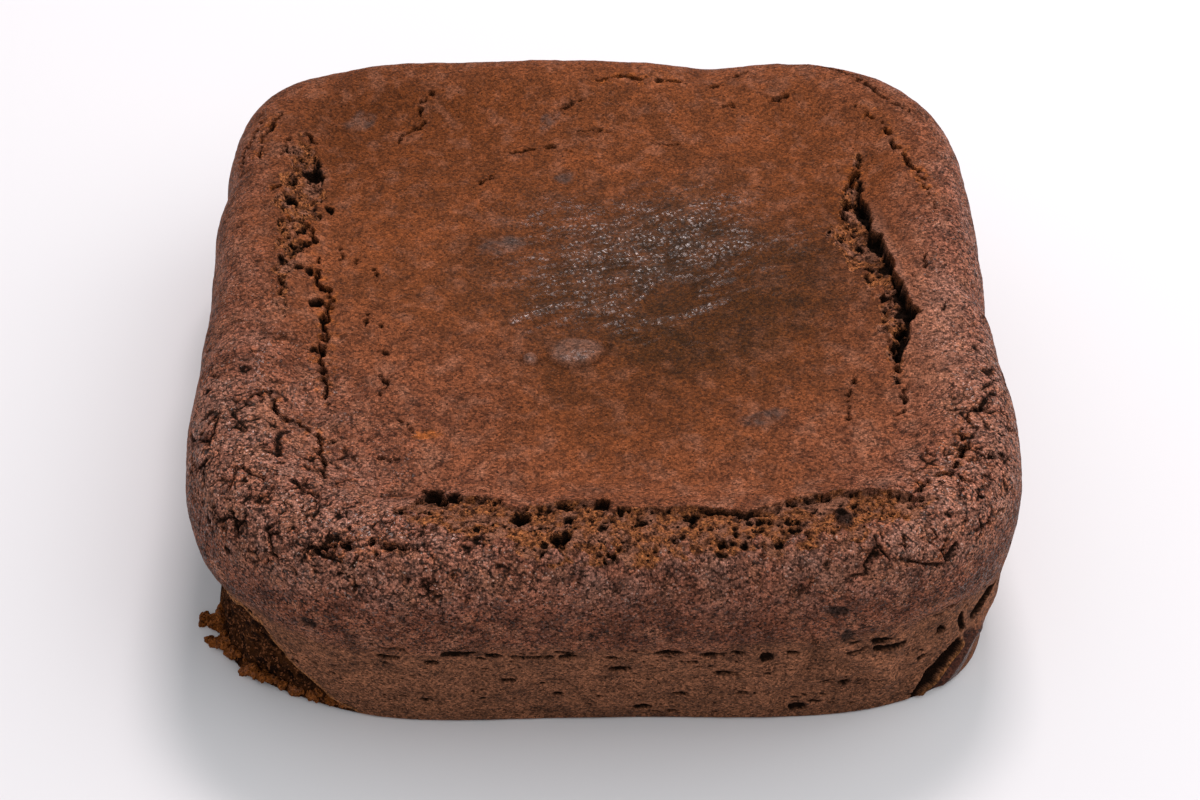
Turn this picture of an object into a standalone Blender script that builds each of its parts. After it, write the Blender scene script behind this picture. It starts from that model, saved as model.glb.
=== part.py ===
"""Square gingerbread cake from a 20 cm tin, turned out whole.

Metres, +Z up. The origin lies under the middle of the cake, on the face that it rests on.
-Y is the front. The skin of the cake is one square sheet of rings: it starts at the middle of
the top, runs out over the rim, down the side and in to the edge of the base.
"""

import random

import bmesh
import bpy
import numpy as np
from mathutils import Matrix, Vector, noise

MM = 0.001

# Plan of the cake at its widest, between a square and a circle
HALF_WIDTH = 103.5 * MM
HALF_DEPTH = 101.5 * MM
SQUARENESS = 4.6

# Heights above the base
RIM_HEIGHT = 62.0 * MM
PLATEAU_HEIGHT = 58.0 * MM
WIDEST_HEIGHT = 41.0 * MM
LIP_HEIGHT = 32.0 * MM
FOOT_HEIGHT = 4.0 * MM

# Distances in from the widest plan, on the top
TEAR_BAND_INNER = 36.0 * MM
RIM_INSET = 18.0 * MM
SHOULDER = 13.5 * MM
SHOULDER_FULLNESS = 2.4

# Distances in from the widest plan, down the side
LIP_INSET = 1.6 * MM
LIP_UNDERCUT = 0.9 * MM
BASE_INSET = 4.6 * MM
FRONT_BASE_INSET = 2.2 * MM

# Sunken middle of the top, and the low stretch of the back rim
HOLLOW = {"at": (14.0 * MM, 4.0 * MM), "spread": (46.0 * MM, 40.0 * MM), "depth": 2.6 * MM}
BACK_DIP = {"at": (33.0 * MM, 96.0 * MM), "spread": (17.0 * MM, 20.0 * MM), "depth": 3.2 * MM}

# Bulges (+) and dents (-) of the plan: direction from the middle, half width, height
PLAN_WAVES = (
    {"degrees": 180.0, "spread": 22.0, "out": -1.6 * MM},
    {"degrees": 155.0, "spread": 3.5, "out": -1.2 * MM},
    {"degrees": 139.0, "spread": 7.0, "out": 2.2 * MM},
    {"degrees": 90.0, "spread": 30.0, "out": 0.9 * MM},
    {"degrees": 0.0, "spread": 20.0, "out": -1.7 * MM},
    {"degrees": -1.5, "spread": 3.0, "out": -1.3 * MM},
    {"degrees": -28.0, "spread": 9.0, "out": 1.4 * MM},
    {"degrees": -46.0, "spread": 8.0, "out": -1.6 * MM},
    {"degrees": -135.0, "spread": 8.0, "out": -2.0 * MM},
    {"degrees": -152.0, "spread": 8.0, "out": 0.8 * MM},
)

# The same for the foot of the side, measured from the plan above it
FOOT_WAVES = (
    {"degrees": -127.0, "spread": 8.0, "out": -1.4 * MM},
    {"degrees": -142.0, "spread": 8.0, "out": 3.0 * MM},
    {"degrees": -42.0, "spread": 9.0, "out": 3.2 * MM},
)

# Tears in the top: a path in the plan in mm, half width and depth. "steep" is the side of the path,
# seen along it, where the tear is deepest: 1 left, -1 right, 0 both alike.
TEARS = (
    {  # along the front, its inner edge a scarp
        "path": ((-50, -83), (-40, -80), (-20, -87), (0, -88), (22, -88), (44, -88), (60, -80), (74, -80)),
        "half": 6.2, "depth": 5.5, "steep": 1,
    },
    {  # right, under a raised outer lip
        "path": ((70, 50), (67, 36), (68, 22), (70, 9), (74, -8), (74, -22), (73, -40)),
        "half": 5.0, "depth": 6.5, "steep": 1,
    },
    {"path": ((-82, 56), (-78, 44), (-80, 30), (-80, 14), (-81, -4)), "half": 4.8, "depth": 4.0, "steep": 0},
    {"path": ((-73, 10), (-70, -4), (-70, -24), (-68, -40)), "half": 2.6, "depth": 4.0, "steep": 0},
    {"path": ((73, 72), (81, 56), (87, 38), (89, 26)), "half": 2.8, "depth": 2.6, "steep": -1},
    {"path": ((70, 88), (80, 77), (88, 67)), "half": 2.4, "depth": 2.0, "steep": 0},
    {"path": ((89, -49), (86, -58), (85, -67), (77, -73)), "half": 2.6, "depth": 2.8, "steep": 0},
    {"path": ((-71, -91), (-57, -91), (-44, -93)), "half": 2.4, "depth": 2.4, "steep": 0},
    {"path": ((1, 84), (14, 86), (26, 85)), "half": 2.0, "depth": 1.8, "steep": 0},
)
RAISED_LIP = {"from": (72, 30), "to": (80, -20), "spread": 5.0, "height": 1.6}

# Front left corner of the side, where the skin was pulled off with the lining paper
TORN_CORNER = {"from": -158.0, "falls_from": -137.0, "to": -123.0, "depth": 4.2 * MM}
CRUMB_FOOT = {"from": -151.5, "to": -124.0, "out": 1.6 * MM}
CRUMB_TUFT = {"degrees": -151.0, "spread": 3.0, "out": 3.5 * MM}
CRUMB_LUMPS = 12
LUMP_RADIUS = (2.6 * MM, 4.6 * MM)

# Front right corner of the side: a pleat left by a fold of the lining paper
PLEAT = {
    "foot": -50.5, "head": -43.5, "spread": 1.1, "height": 4.0 * MM,
    "groove": 2.4, "groove_depth": 3.6 * MM,
}

CRUST_LUMPS = {"size": 14.0 * MM, "height": 0.5 * MM}
TORN_LUMPS = {"size": 5.0 * MM, "height": 1.3 * MM}

# Rings of the skin, from the middle out: how many cross each zone
PLATEAU_RINGS = 9
TEAR_RINGS = 11
SHOULDER_RINGS = 5
SIDE_RINGS = 4
WALL_RINGS = 7
RINGS = PLATEAU_RINGS + TEAR_RINGS + SHOULDER_RINGS + SIDE_RINGS + WALL_RINGS

CRUST_COLOUR = (0.115, 0.045, 0.025, 1.0)


def smooth_step(value, start, end):
    """0 before start, 1 after end, and an S-shaped rise between them."""
    t = np.clip((value - start) / (end - start), 0.0, 1.0)
    return t * t * (3.0 - 2.0 * t)


def bell(value, middle, spread):
    """1 at middle, falling off smoothly to both sides."""
    return np.exp(-(((value - middle) / spread) ** 2))


def turn(angle, degrees):
    """Signed degrees from a direction to each angle, across the join at 180."""
    return (np.degrees(angle) - degrees + 180.0) % 360.0 - 180.0


def lumps(points, size, height, seed):
    """Smooth unevenness of a surface: about height up and down, over lumps of this size."""
    shift = Vector((seed * 7.3, seed * 3.1, seed * 5.7))
    return height * np.array([noise.noise(Vector(p) / size + shift) for p in points])


def plan_radius(angle):
    """Distance from the middle to the widest plan, in each direction."""
    across = np.abs(np.cos(angle) / HALF_WIDTH) ** SQUARENESS
    along = np.abs(np.sin(angle) / HALF_DEPTH) ** SQUARENESS
    radius = (across + along) ** (-1.0 / SQUARENESS)
    for wave in PLAN_WAVES:
        radius = radius + wave["out"] * bell(turn(angle, wave["degrees"]), 0.0, wave["spread"])
    return radius


def round_hollow(x, y, hollow):
    across = (x - hollow["at"][0]) / hollow["spread"][0]
    along = (y - hollow["at"][1]) / hollow["spread"][1]
    return hollow["depth"] * np.exp(-(across**2) - along**2)


def crown_height(x, y, inset):
    """Height of the unbroken top: a sunken middle inside a raised rim."""
    rim = smooth_step(-inset, -TEAR_BAND_INNER, -RIM_INSET)
    height = PLATEAU_HEIGHT + (RIM_HEIGHT - PLATEAU_HEIGHT) * rim
    return height - round_hollow(x, y, HOLLOW) - round_hollow(x, y, BACK_DIP)


def along_path(x, y, path):
    """Distance to a path, the same signed with left positive, and the share of the way along it."""
    corners = np.array(path, float)
    lengths = np.linalg.norm(np.diff(corners, axis=0), axis=1)
    starts = np.concatenate([[0.0], np.cumsum(lengths)])
    best = np.full(x.shape, np.inf)
    signed = np.zeros_like(x)
    share = np.zeros_like(x)
    for start, end, length, before in zip(corners[:-1], corners[1:], lengths, starts):
        way = (end - start) / length
        run = (x / MM - start[0]) * way[0] + (y / MM - start[1]) * way[1]
        held = np.clip(run, 0.0, length)
        off = np.hypot(x / MM - start[0] - held * way[0], y / MM - start[1] - held * way[1])
        side = way[0] * (y / MM - start[1]) - way[1] * (x / MM - start[0])
        nearer = off < best
        best = np.where(nearer, off, best)
        signed = np.where(nearer, np.copysign(off, side), signed)
        share = np.where(nearer, (before + held) / starts[-1], share)
    return best, signed, share


def tear_depth(x, y):
    """How far the tears sink the top."""
    depth = np.zeros_like(x)
    for tear in TEARS:
        off, signed, share = along_path(x, y, tear["path"])
        half = tear["half"] * np.clip(5.0 * np.minimum(share, 1.0 - share) + 0.35, 0.0, 1.0)
        inside = smooth_step(-off, -half, -0.55 * half)
        lean = 1.0 - 0.45 * (1.0 - tear["steep"] * signed / half) * abs(tear["steep"])
        depth = np.maximum(depth, tear["depth"] * MM * inside * np.clip(lean, 0.0, 1.0))
    return depth


def raised_lip(x, y):
    """Lift of the crust along the outer side of the right tear."""
    off, _, share = along_path(x, y, (RAISED_LIP["from"], RAISED_LIP["to"]))
    return RAISED_LIP["height"] * MM * bell(off, 0.0, RAISED_LIP["spread"]) * np.sin(np.pi * share)


def side_rows(angle):
    """(inset, height) of each ring of the side, from below the widest plan to the edge of the base."""
    degrees = turn(angle, 0.0)
    torn = smooth_step(degrees, TORN_CORNER["from"], TORN_CORNER["from"] + 8.0)
    torn = torn * smooth_step(-degrees, -TORN_CORNER["to"], 2.0 - TORN_CORNER["to"])
    falling = (degrees - TORN_CORNER["falls_from"]) / (TORN_CORNER["to"] - TORN_CORNER["falls_from"])
    torn_height = 3.0 * MM + (LIP_HEIGHT - 8.0 * MM) * (1.0 - np.clip(falling, 0.0, 1.0))
    plain_height = 0.5 * LIP_HEIGHT
    edge_height = plain_height + (torn_height - plain_height) * torn
    base_inset = BASE_INSET + FRONT_BASE_INSET * np.clip(-np.sin(angle), 0.0, 1.0) ** 2
    for wave in FOOT_WAVES:
        base_inset = base_inset - wave["out"] * bell(turn(angle, wave["degrees"]), 0.0, wave["spread"])

    def wall_inset(height):
        return base_inset + (LIP_INSET + LIP_UNDERCUT - base_inset) * height / LIP_HEIGHT

    rows = []
    for ring in range(1, SIDE_RINGS + 1):
        share = ring / SIDE_RINGS
        rows.append((LIP_INSET * share**2, WIDEST_HEIGHT + (LIP_HEIGHT - WIDEST_HEIGHT) * share))
    under_lip = LIP_HEIGHT - 0.8 * MM
    above_tear = edge_height + 0.4 * (under_lip - edge_height)
    rows.append((LIP_INSET + LIP_UNDERCUT, under_lip))
    rows.append((wall_inset(above_tear), above_tear))
    rows.append((wall_inset(edge_height), edge_height))
    recess = TORN_CORNER["depth"] * torn
    below_edge = edge_height - 1.2 * MM
    foot_height = np.minimum(FOOT_HEIGHT, 0.6 * below_edge)
    middle = 0.5 * (below_edge + foot_height)
    rows.append((wall_inset(below_edge) + recess, below_edge))
    rows.append((wall_inset(middle) + 0.9 * recess, middle))
    foot = CRUMB_FOOT["out"] * smooth_step(degrees, CRUMB_FOOT["from"], CRUMB_FOOT["from"] + 6.0)
    foot = foot * smooth_step(-degrees, -CRUMB_FOOT["to"], 6.0 - CRUMB_FOOT["to"])
    rows.append((base_inset + 0.5 * recess - 0.6 * foot, foot_height))
    rows.append((base_inset + 0.9 * MM - foot, 0.0))
    return rows


def pleat(angle, height):
    """Outward push of the paper's fold at the front right corner: a ridge beside a groove, both leaning."""
    rise = height / LIP_HEIGHT
    ridge_at = PLEAT["foot"] + (PLEAT["head"] - PLEAT["foot"]) * rise
    below_lip = smooth_step(-height, -LIP_HEIGHT - MM, -LIP_HEIGHT + 2.0 * MM)
    ridge = PLEAT["height"] * bell(turn(angle, 0.0), ridge_at, PLEAT["spread"])
    groove = PLEAT["groove_depth"] * bell(turn(angle, 0.0), ridge_at - PLEAT["groove"], PLEAT["spread"])
    recess_at = ridge_at + 1.6 * PLEAT["groove"]
    recess = PLEAT["groove_depth"] * bell(turn(angle, 0.0), recess_at, 1.4 * PLEAT["spread"])
    return below_lip * (ridge - groove - recess * rise)


def skin_points(sheet):
    """Places the points of a flat square sheet from -1 to 1 on the cake, ring by ring."""
    ring = np.rint(np.abs(sheet[:, :2]).max(axis=1) * RINGS).astype(int)
    angle = np.arctan2(sheet[:, 1], sheet[:, 0])
    radius = plan_radius(angle)
    rows = side_rows(angle)
    top_ring = np.clip(ring, 0, PLATEAU_RINGS + TEAR_RINGS)
    band_way = np.clip((top_ring - PLATEAU_RINGS) / TEAR_RINGS, 0.0, 1.0)
    plateau_way = np.clip(top_ring / PLATEAU_RINGS, 0.0, 1.0)
    inset = radius + plateau_way * (TEAR_BAND_INNER - radius)
    band_inset = TEAR_BAND_INNER + band_way * (SHOULDER - TEAR_BAND_INNER)
    inset = np.where(top_ring > PLATEAU_RINGS, band_inset, inset)
    quarter = np.clip((ring - PLATEAU_RINGS - TEAR_RINGS) / SHOULDER_RINGS, 0.0, 1.0) * 0.5 * np.pi
    fall = 1.0 - np.cos(quarter) ** (2.0 / SHOULDER_FULLNESS)
    inset = inset - SHOULDER * np.sin(quarter) ** (2.0 / SHOULDER_FULLNESS)
    x = (radius - inset) * np.cos(angle)
    y = (radius - inset) * np.sin(angle)
    crown = crown_height(x, y, inset)
    height = crown - (crown - WIDEST_HEIGHT) * fall
    for number, (row_inset, row_height) in enumerate(rows, start=RINGS - len(rows) + 1):
        here = ring == number
        inset = np.where(here, row_inset, inset)
        height = np.where(here, row_height, height)
    inset = inset - pleat(angle, height) * (ring > RINGS - len(rows))
    on_top = ring <= RINGS - len(rows)
    return angle, radius - inset, height, on_top


def cake_skin():
    """The cake without its loose crumbs: one closed mesh, flat underneath."""
    bm = bmesh.new()
    bmesh.ops.create_grid(bm, x_segments=2 * RINGS, y_segments=2 * RINGS, size=1.0)
    bm.verts.ensure_lookup_table()
    sheet = np.array([v.co for v in bm.verts])
    angle, reach, height, on_top = skin_points(sheet)
    x = reach * np.cos(angle)
    y = reach * np.sin(angle)
    torn = np.where(on_top, tear_depth(x, y), 0.0)
    height = height - torn + np.where(on_top, raised_lip(x, y), 0.0)
    points = np.stack([x, y, height], axis=1)
    above_base = height > 0.5 * FOOT_HEIGHT
    crust = lumps(points, CRUST_LUMPS["size"], CRUST_LUMPS["height"], seed=1)
    crumb = lumps(points, TORN_LUMPS["size"], TORN_LUMPS["height"], seed=2)
    height = height + np.where(on_top, crust + crumb * np.clip(torn / (3.0 * MM), 0.0, 1.0), 0.0)
    torn_middle = 0.5 * (CRUMB_FOOT["from"] + CRUMB_FOOT["to"])
    corner = bell(turn(angle, torn_middle), 0.0, 14.0) * (height < LIP_HEIGHT)
    reach = reach + np.where(above_base, crust, 0.0) + 2.0 * crumb * corner
    points = np.stack([reach * np.cos(angle), reach * np.sin(angle), height], axis=1)
    for vert, point in zip(bm.verts, points):
        vert.co = point
    rim = [edge for edge in bm.edges if edge.is_boundary]
    base = bmesh.ops.holes_fill(bm, edges=rim, sides=0)["faces"]
    bmesh.ops.poke(bm, faces=base)
    bmesh.ops.recalc_face_normals(bm, faces=bm.faces)
    mesh = bpy.data.meshes.new("cake")
    bm.to_mesh(mesh)
    bm.free()
    return bpy.data.objects.new("cake", mesh)


def crumb_lumps(collection):
    """Crumbs of the torn corner, stuck along the foot of the cake."""
    draw = random.Random(4)
    step = (CRUMB_FOOT["to"] - CRUMB_FOOT["from"]) / (CRUMB_LUMPS - 1)
    for number in range(CRUMB_LUMPS):
        angle = np.radians(CRUMB_FOOT["from"] + (number + draw.uniform(-0.4, 0.4)) * step)
        size = draw.uniform(*LUMP_RADIUS)
        foot_inset = side_rows(np.array([angle]))[-1][0][0]
        tuft = CRUMB_TUFT["out"] * bell(turn(angle, CRUMB_TUFT["degrees"]), 0.0, CRUMB_TUFT["spread"])
        reach = plan_radius(angle) - foot_inset - draw.uniform(0.3, 0.9) * size + tuft
        bm = bmesh.new()
        bmesh.ops.create_uvsphere(bm, u_segments=5, v_segments=4, radius=size)
        for vert in bm.verts:
            vert.co *= 1.0 + draw.uniform(-0.25, 0.25)
            vert.co.z *= 0.75
        spin = Matrix.Rotation(draw.uniform(0.0, 6.0), 3, "Z")
        bmesh.ops.rotate(bm, verts=bm.verts, cent=(0, 0, 0), matrix=spin)
        mesh = bpy.data.meshes.new(f"crumb_{number:02d}")
        bm.to_mesh(mesh)
        bm.free()
        crumb = bpy.data.objects.new(mesh.name, mesh)
        lowest = min(v.co.z for v in mesh.vertices)
        crumb.location = (reach * np.cos(angle), reach * np.sin(angle), 0.3 * MM - lowest)
        collection.objects.link(crumb)


def keep_outer_skin(mesh):
    """Leaves only the largest connected skin: sealed hollows between crumbs are filled, loose scraps go."""
    bm = bmesh.new()
    bm.from_mesh(mesh)
    unseen = set(bm.verts)
    skins = []
    while unseen:
        skin = set()
        front = [unseen.pop()]
        while front:
            vert = front.pop()
            skin.add(vert)
            for edge in vert.link_edges:
                other = edge.other_vert(vert)
                if other in unseen:
                    unseen.remove(other)
                    front.append(other)
        skins.append(skin)
    skins.sort(key=len)
    for skin in skins[:-1]:
        bmesh.ops.delete(bm, geom=list(skin), context="VERTS")
    bm.to_mesh(mesh)
    bm.free()


def centre_on_origin(mesh):
    """Moves the cake so that its bounding box is centred over the origin."""
    corners = np.array([v.co for v in mesh.vertices])
    middle = 0.5 * (corners.min(axis=0) + corners.max(axis=0))
    mesh.transform(Matrix.Translation((-middle[0], -middle[1], 0.0)))


def crust_material():
    material = bpy.data.materials.new("gingerbread_crust")
    material.use_nodes = True
    shader = material.node_tree.nodes["Principled BSDF"]
    shader.inputs["Base Color"].default_value = CRUST_COLOUR
    shader.inputs["Roughness"].default_value = 0.62
    shader.inputs["Metallic"].default_value = 0.0
    return material


def main():
    for obj in list(bpy.data.objects):
        bpy.data.objects.remove(obj, do_unlink=True)
    parts = bpy.data.collections.new("gingerbread_cake")
    crumbs = bpy.data.collections.new("crumbs")
    bpy.context.scene.collection.children.link(parts)
    bpy.context.scene.collection.children.link(crumbs)
    cake = cake_skin()
    parts.objects.link(cake)
    crumb_lumps(crumbs)
    union = cake.modifiers.new("crumbs", "BOOLEAN")
    union.operation = "UNION"
    union.operand_type = "COLLECTION"
    union.collection = crumbs
    union.solver = "MANIFOLD"
    bpy.context.view_layer.update()
    joined = bpy.data.meshes.new_from_object(cake.evaluated_get(bpy.context.evaluated_depsgraph_get()))
    cake.modifiers.clear()
    cake.data = joined
    for crumb in list(crumbs.objects):
        bpy.data.objects.remove(crumb, do_unlink=True)
    keep_outer_skin(cake.data)
    centre_on_origin(cake.data)
    cake.data.materials.clear()
    cake.data.materials.append(crust_material())
    cake.data.shade_smooth()
    cake.data.set_sharp_from_angle(angle=np.radians(50.0))


main()
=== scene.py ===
import math
from itertools import product
from types import SimpleNamespace

import bmesh
import bpy
import numpy as np
from mathutils import Matrix, Vector


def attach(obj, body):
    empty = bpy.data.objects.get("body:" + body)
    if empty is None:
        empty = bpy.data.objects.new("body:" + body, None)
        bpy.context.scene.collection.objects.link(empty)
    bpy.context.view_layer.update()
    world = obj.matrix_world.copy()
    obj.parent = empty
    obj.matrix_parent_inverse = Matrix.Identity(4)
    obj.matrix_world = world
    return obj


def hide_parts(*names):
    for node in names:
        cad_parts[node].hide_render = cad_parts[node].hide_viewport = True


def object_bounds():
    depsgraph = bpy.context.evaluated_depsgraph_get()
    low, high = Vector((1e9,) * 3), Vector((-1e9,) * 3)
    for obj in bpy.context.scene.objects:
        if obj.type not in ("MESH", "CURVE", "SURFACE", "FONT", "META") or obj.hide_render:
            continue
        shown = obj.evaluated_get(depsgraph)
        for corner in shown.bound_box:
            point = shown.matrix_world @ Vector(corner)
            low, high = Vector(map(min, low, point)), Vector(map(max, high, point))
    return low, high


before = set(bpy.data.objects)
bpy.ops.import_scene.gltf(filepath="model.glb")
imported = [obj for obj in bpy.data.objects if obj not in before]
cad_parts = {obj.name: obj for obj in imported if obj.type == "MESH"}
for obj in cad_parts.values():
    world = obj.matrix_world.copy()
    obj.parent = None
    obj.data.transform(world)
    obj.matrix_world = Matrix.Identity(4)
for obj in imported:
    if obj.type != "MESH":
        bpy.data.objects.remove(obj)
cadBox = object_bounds()

# Shapes are worked out in millimetres, x right, y back, z up from the base, and made metres at the end
mm = 0.001
planShift = (0.2, 0.4)   # the plan's own middle, seen from the middle of the solid's box

cake = {
    "halfWidth": 103.5, "halfDepth": 101.5, "squareness": 4.6,
    "rimHeight": 62.0, "middleHeight": 58.0, "widestHeight": 41.0, "lipHeight": 32.0,
    "rimFrom": 36.0, "rimTo": 18.0,            # distances in from the widest plan where the rim rises
    "shoulder": 13.5, "shoulderFullness": 2.4,
    "topFrom": 42.0,                           # height above which the relief of the top lies
    "lipInset": 1.6, "undercut": 0.9, "lipRoll": 2.2, "rollTilt": 0.35,
    "baseInset": 4.6, "frontBaseInset": 2.2, "footHeight": 1.4, "footRound": 1.2,
    # gaussian hollows of the top: middle, spreads, depth
    "hollows": (((14.0, 4.0), (46.0, 40.0), 2.6), ((33.0, 96.0), (17.0, 20.0), 3.2)),
    # bulges and dents of the plan: direction in degrees, half width in degrees, outwards
    "planWaves": ((180, 22, -1.6), (155, 3.5, -1.2), (139, 7, 2.2), (90, 30, 0.9), (0, 20, -1.7),
                  (-1.5, 3, -1.3), (-28, 9, 1.4), (-46, 8, -1.6), (-135, 8, -2.0), (-152, 8, 0.8)),
    "footWaves": ((-127, 8, -1.4), (-142, 8, 3.0), (-42, 9, 3.2)),
    # the lip line's rise and fall: swells, bumps by direction, more of both round the back, its reach
    "lipSwells": ((1.1, 17.0, 91), (0.75, 5.0, 92)), "lipWaves": ((-50.0, 7.0, 1.6), (-36.0, 5.0, -3.5)),
    "lipAtBack": 0.9, "lipReach": 7.0,
    "halfCount": 300,                          # cells from the middle of the top to the shoulder
    "shoulderRows": 66, "sideRows": 20, "lipRows": 8, "wallRows": 60, "footRows": 5,
}


def smoothStep(value, start, end):
    # 0 before start, 1 after end, 3t2 - 2t3 of the share of the way between
    t = np.clip((value - start) / (end - start), 0.0, 1.0)
    return t * t * (3.0 - 2.0 * t)


def fade(value, start, end):
    # the other way round: 1 before start, 0 after end
    return 1.0 - smoothStep(value, start, end)


def bell(value, middle, spread):
    # exp(-((value - middle) / spread) squared)
    return np.exp(-(((value - middle) / spread) ** 2))


def mound(x, y, middle, spreads):
    # the product of two bells, one along x and one along y
    return np.exp(-(((x - middle[0]) / spreads[0]) ** 2) - ((y - middle[1]) / spreads[1]) ** 2)


def tilted(x, y, middle, degrees):
    # coordinates about a middle point, turned by an angle
    c, s = math.cos(math.radians(degrees)), math.sin(math.radians(degrees))
    return (x - middle[0]) * c + (y - middle[1]) * s, (y - middle[1]) * c - (x - middle[0]) * s


def turned(degrees, direction):
    # signed degrees from a direction, across the join at 180
    return (degrees - direction + 180.0) % 360.0 - 180.0


def hashed(ix, iy, iz, seed):
    # whole numbers of a lattice point stirred into 32 random bits: multiply, add, fold the high bits down
    bits = (ix * 374761393 + iy * 668265263 + iz * 1440662683 + seed * 974634777) & 0xFFFFFFFF
    bits = ((bits ^ (bits >> 13)) * 1274126177) & 0xFFFFFFFF
    bits = ((bits ^ (bits >> 15)) * 1103515245) & 0xFFFFFFFF
    return bits ^ (bits >> 16)


def swell(points, size, seed):
    # gradient noise: at each lattice corner a random slope times the way from it, blended by 6t5-15t4+10t3
    # comes out at about -1 to 1, half of it beyond a third
    scaled = (points / size).astype(np.float32) + np.float32(seed * 0.37)
    corner = np.floor(scaled)
    way = scaled - corner
    corner = corner.astype(np.int64)
    ease = way * way * way * (way * (way * 6.0 - 15.0) + 10.0)
    total = np.zeros(len(points), np.float32)
    for dx, dy, dz in product((0, 1), repeat=3):
        bits = hashed(corner[:, 0] + dx, corner[:, 1] + dy, corner[:, 2] + dz, seed)
        slope = ((bits & 1023) * (way[:, 0] - dx) + ((bits >> 10) & 1023) * (way[:, 1] - dy)
                 + ((bits >> 20) & 1023) * (way[:, 2] - dz)) / 511.5
        slope -= way[:, 0] - dx + way[:, 1] - dy + way[:, 2] - dz
        part = ((ease[:, 0] if dx else 1.0 - ease[:, 0]) * (ease[:, 1] if dy else 1.0 - ease[:, 1])
                * (ease[:, 2] if dz else 1.0 - ease[:, 2]))
        total += (part * slope).astype(np.float32)
    return total * 1.7


def swells(points, layers):
    # swells laid over each other, each given as its amount, the size of its lumps in mm and its seed
    return sum(amount * swell(points, size, seed) for amount, size, seed in layers)


def nearestSeeds(points, size, seed):
    # one random point in each cell of a lattice: distances to the nearest and next nearest, in cells,
    # and a random number from 0 to 1 that belongs to the nearest
    scaled = (points / size).astype(np.float32)
    corner = np.floor(scaled)
    way = scaled - corner
    corner = corner.astype(np.int64)
    first = np.full(len(points), 9.0, np.float32)
    second = first.copy()
    owner = np.zeros(len(points), np.float32)
    for dx, dy, dz in product((-1, 0, 1), repeat=3):
        bits = hashed(corner[:, 0] + dx, corner[:, 1] + dy, corner[:, 2] + dz, seed)
        off = ((dx + (bits & 1023) / 1023.0 - way[:, 0]) ** 2
               + (dy + ((bits >> 10) & 1023) / 1023.0 - way[:, 1]) ** 2
               + (dz + ((bits >> 20) & 1023) / 1023.0 - way[:, 2]) ** 2).astype(np.float32)
        closer = off < first
        second = np.where(closer, first, np.minimum(second, off))
        owner = np.where(closer, ((bits * 7919) >> 9 & 4095) / 4095.0, owner)
        first = np.where(closer, off, first)
    return np.sqrt(first), np.sqrt(second), owner


def planRadius(degrees):
    # superellipse |x/a|^n + |y/b|^n = 1 in polar form, plus a bell for each bulge or dent
    angle = np.radians(degrees)
    n = cake["squareness"]
    radius = (np.abs(np.cos(angle) / cake["halfWidth"]) ** n
              + np.abs(np.sin(angle) / cake["halfDepth"]) ** n) ** (-1.0 / n)
    for direction, spread, out in cake["planWaves"]:
        radius = radius + out * bell(turned(degrees, direction), 0.0, spread)
    return radius


def crownHeight(x, y, inset):
    # middle height, rising by an S-curve to the rim, less the gaussian hollows
    height = cake["middleHeight"] + (cake["rimHeight"] - cake["middleHeight"]) * fade(
        inset, cake["rimTo"], cake["rimFrom"])
    for middle, spreads, depth in cake["hollows"]:
        height = height - depth * mound(x, y, middle, spreads)
    return height


def baseInset(degrees):
    # how far the foot stands in from the widest plan: more at the front, waves at the corners
    inset = cake["baseInset"] + cake["frontBaseInset"] * np.clip(-np.sin(np.radians(degrees)), 0, 1) ** 2
    for direction, spread, out in cake["footWaves"]:
        inset = inset - out * bell(turned(degrees, direction), 0.0, spread)
    return inset


def evenQuarter(rows):
    # angles of a superellipse quarter whose points lie at equal steps along its arc
    dense = np.linspace(0.0, 0.5 * np.pi, 4000)
    power = 2.0 / cake["shoulderFullness"]
    inset = cake["shoulder"] * (1.0 - np.sin(dense) ** power)
    height = (cake["rimHeight"] - cake["widestHeight"]) * np.cos(dense) ** power
    run = np.concatenate([[0.0], np.cumsum(np.hypot(np.diff(inset), np.diff(height)))])
    return np.interp(np.linspace(0.0, run[-1], rows + 1)[1:], run, dense)


def sideProfile(edgeDegrees, edgeRadius):
    # rows from the crown's edge down to the foot, each its inset, height and tilt of the skin
    ones = np.ones_like(edgeRadius)
    upright = 0.5 * np.pi
    rows = []
    power = 2.0 / cake["shoulderFullness"]
    for q in evenQuarter(cake["shoulderRows"]):   # shoulder: superellipse quarter down to the widest plan
        into = cake["shoulder"] * (1.0 - math.sin(q) ** power) * ones
        crown = crownHeight((edgeRadius - into) * np.cos(np.radians(edgeDegrees)),
                            (edgeRadius - into) * np.sin(np.radians(edgeDegrees)), into)
        fall = 1.0 - max(math.cos(q), 0.0) ** power
        rows.append((into, crown - (crown - cake["widestHeight"]) * fall, q * ones))

    def ways(name):
        return np.arange(1, cake[name] + 1) / cake[name]

    lip, widest = cake["lipHeight"], cake["widestHeight"]
    for way in ways("sideRows"):                  # bulging side: inset by the square
        rows.append((cake["lipInset"] * way ** 2 * ones, (widest + (lip - widest) * way) * ones,
                     upright * ones))
    for way in ways("lipRows"):                   # soft roll in under the lip
        into = cake["lipInset"] + cake["undercut"] * (0.5 - 0.5 * math.cos(math.pi * way))
        tilt = upright + cake["rollTilt"] * math.sin(math.pi * way)
        rows.append((into * ones, (lip - cake["lipRoll"] * way) * ones, tilt * ones))
    foot = baseInset(edgeDegrees)
    top, end = lip - cake["lipRoll"], cake["footHeight"]
    start = cake["lipInset"] + cake["undercut"]
    for way in ways("wallRows"):                  # wall of the tin: straight lean in
        rows.append((start + (foot - start) * way, (top + (end - top) * way) * ones, upright * ones))
    for way in ways("footRows"):                  # round foot
        quarter = upright * way
        rows.append((foot + cake["footRound"] * (1.0 - math.cos(quarter)),
                     end * (1.0 - math.sin(quarter)) * ones, upright * ones))
    return zip(*rows)


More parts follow.
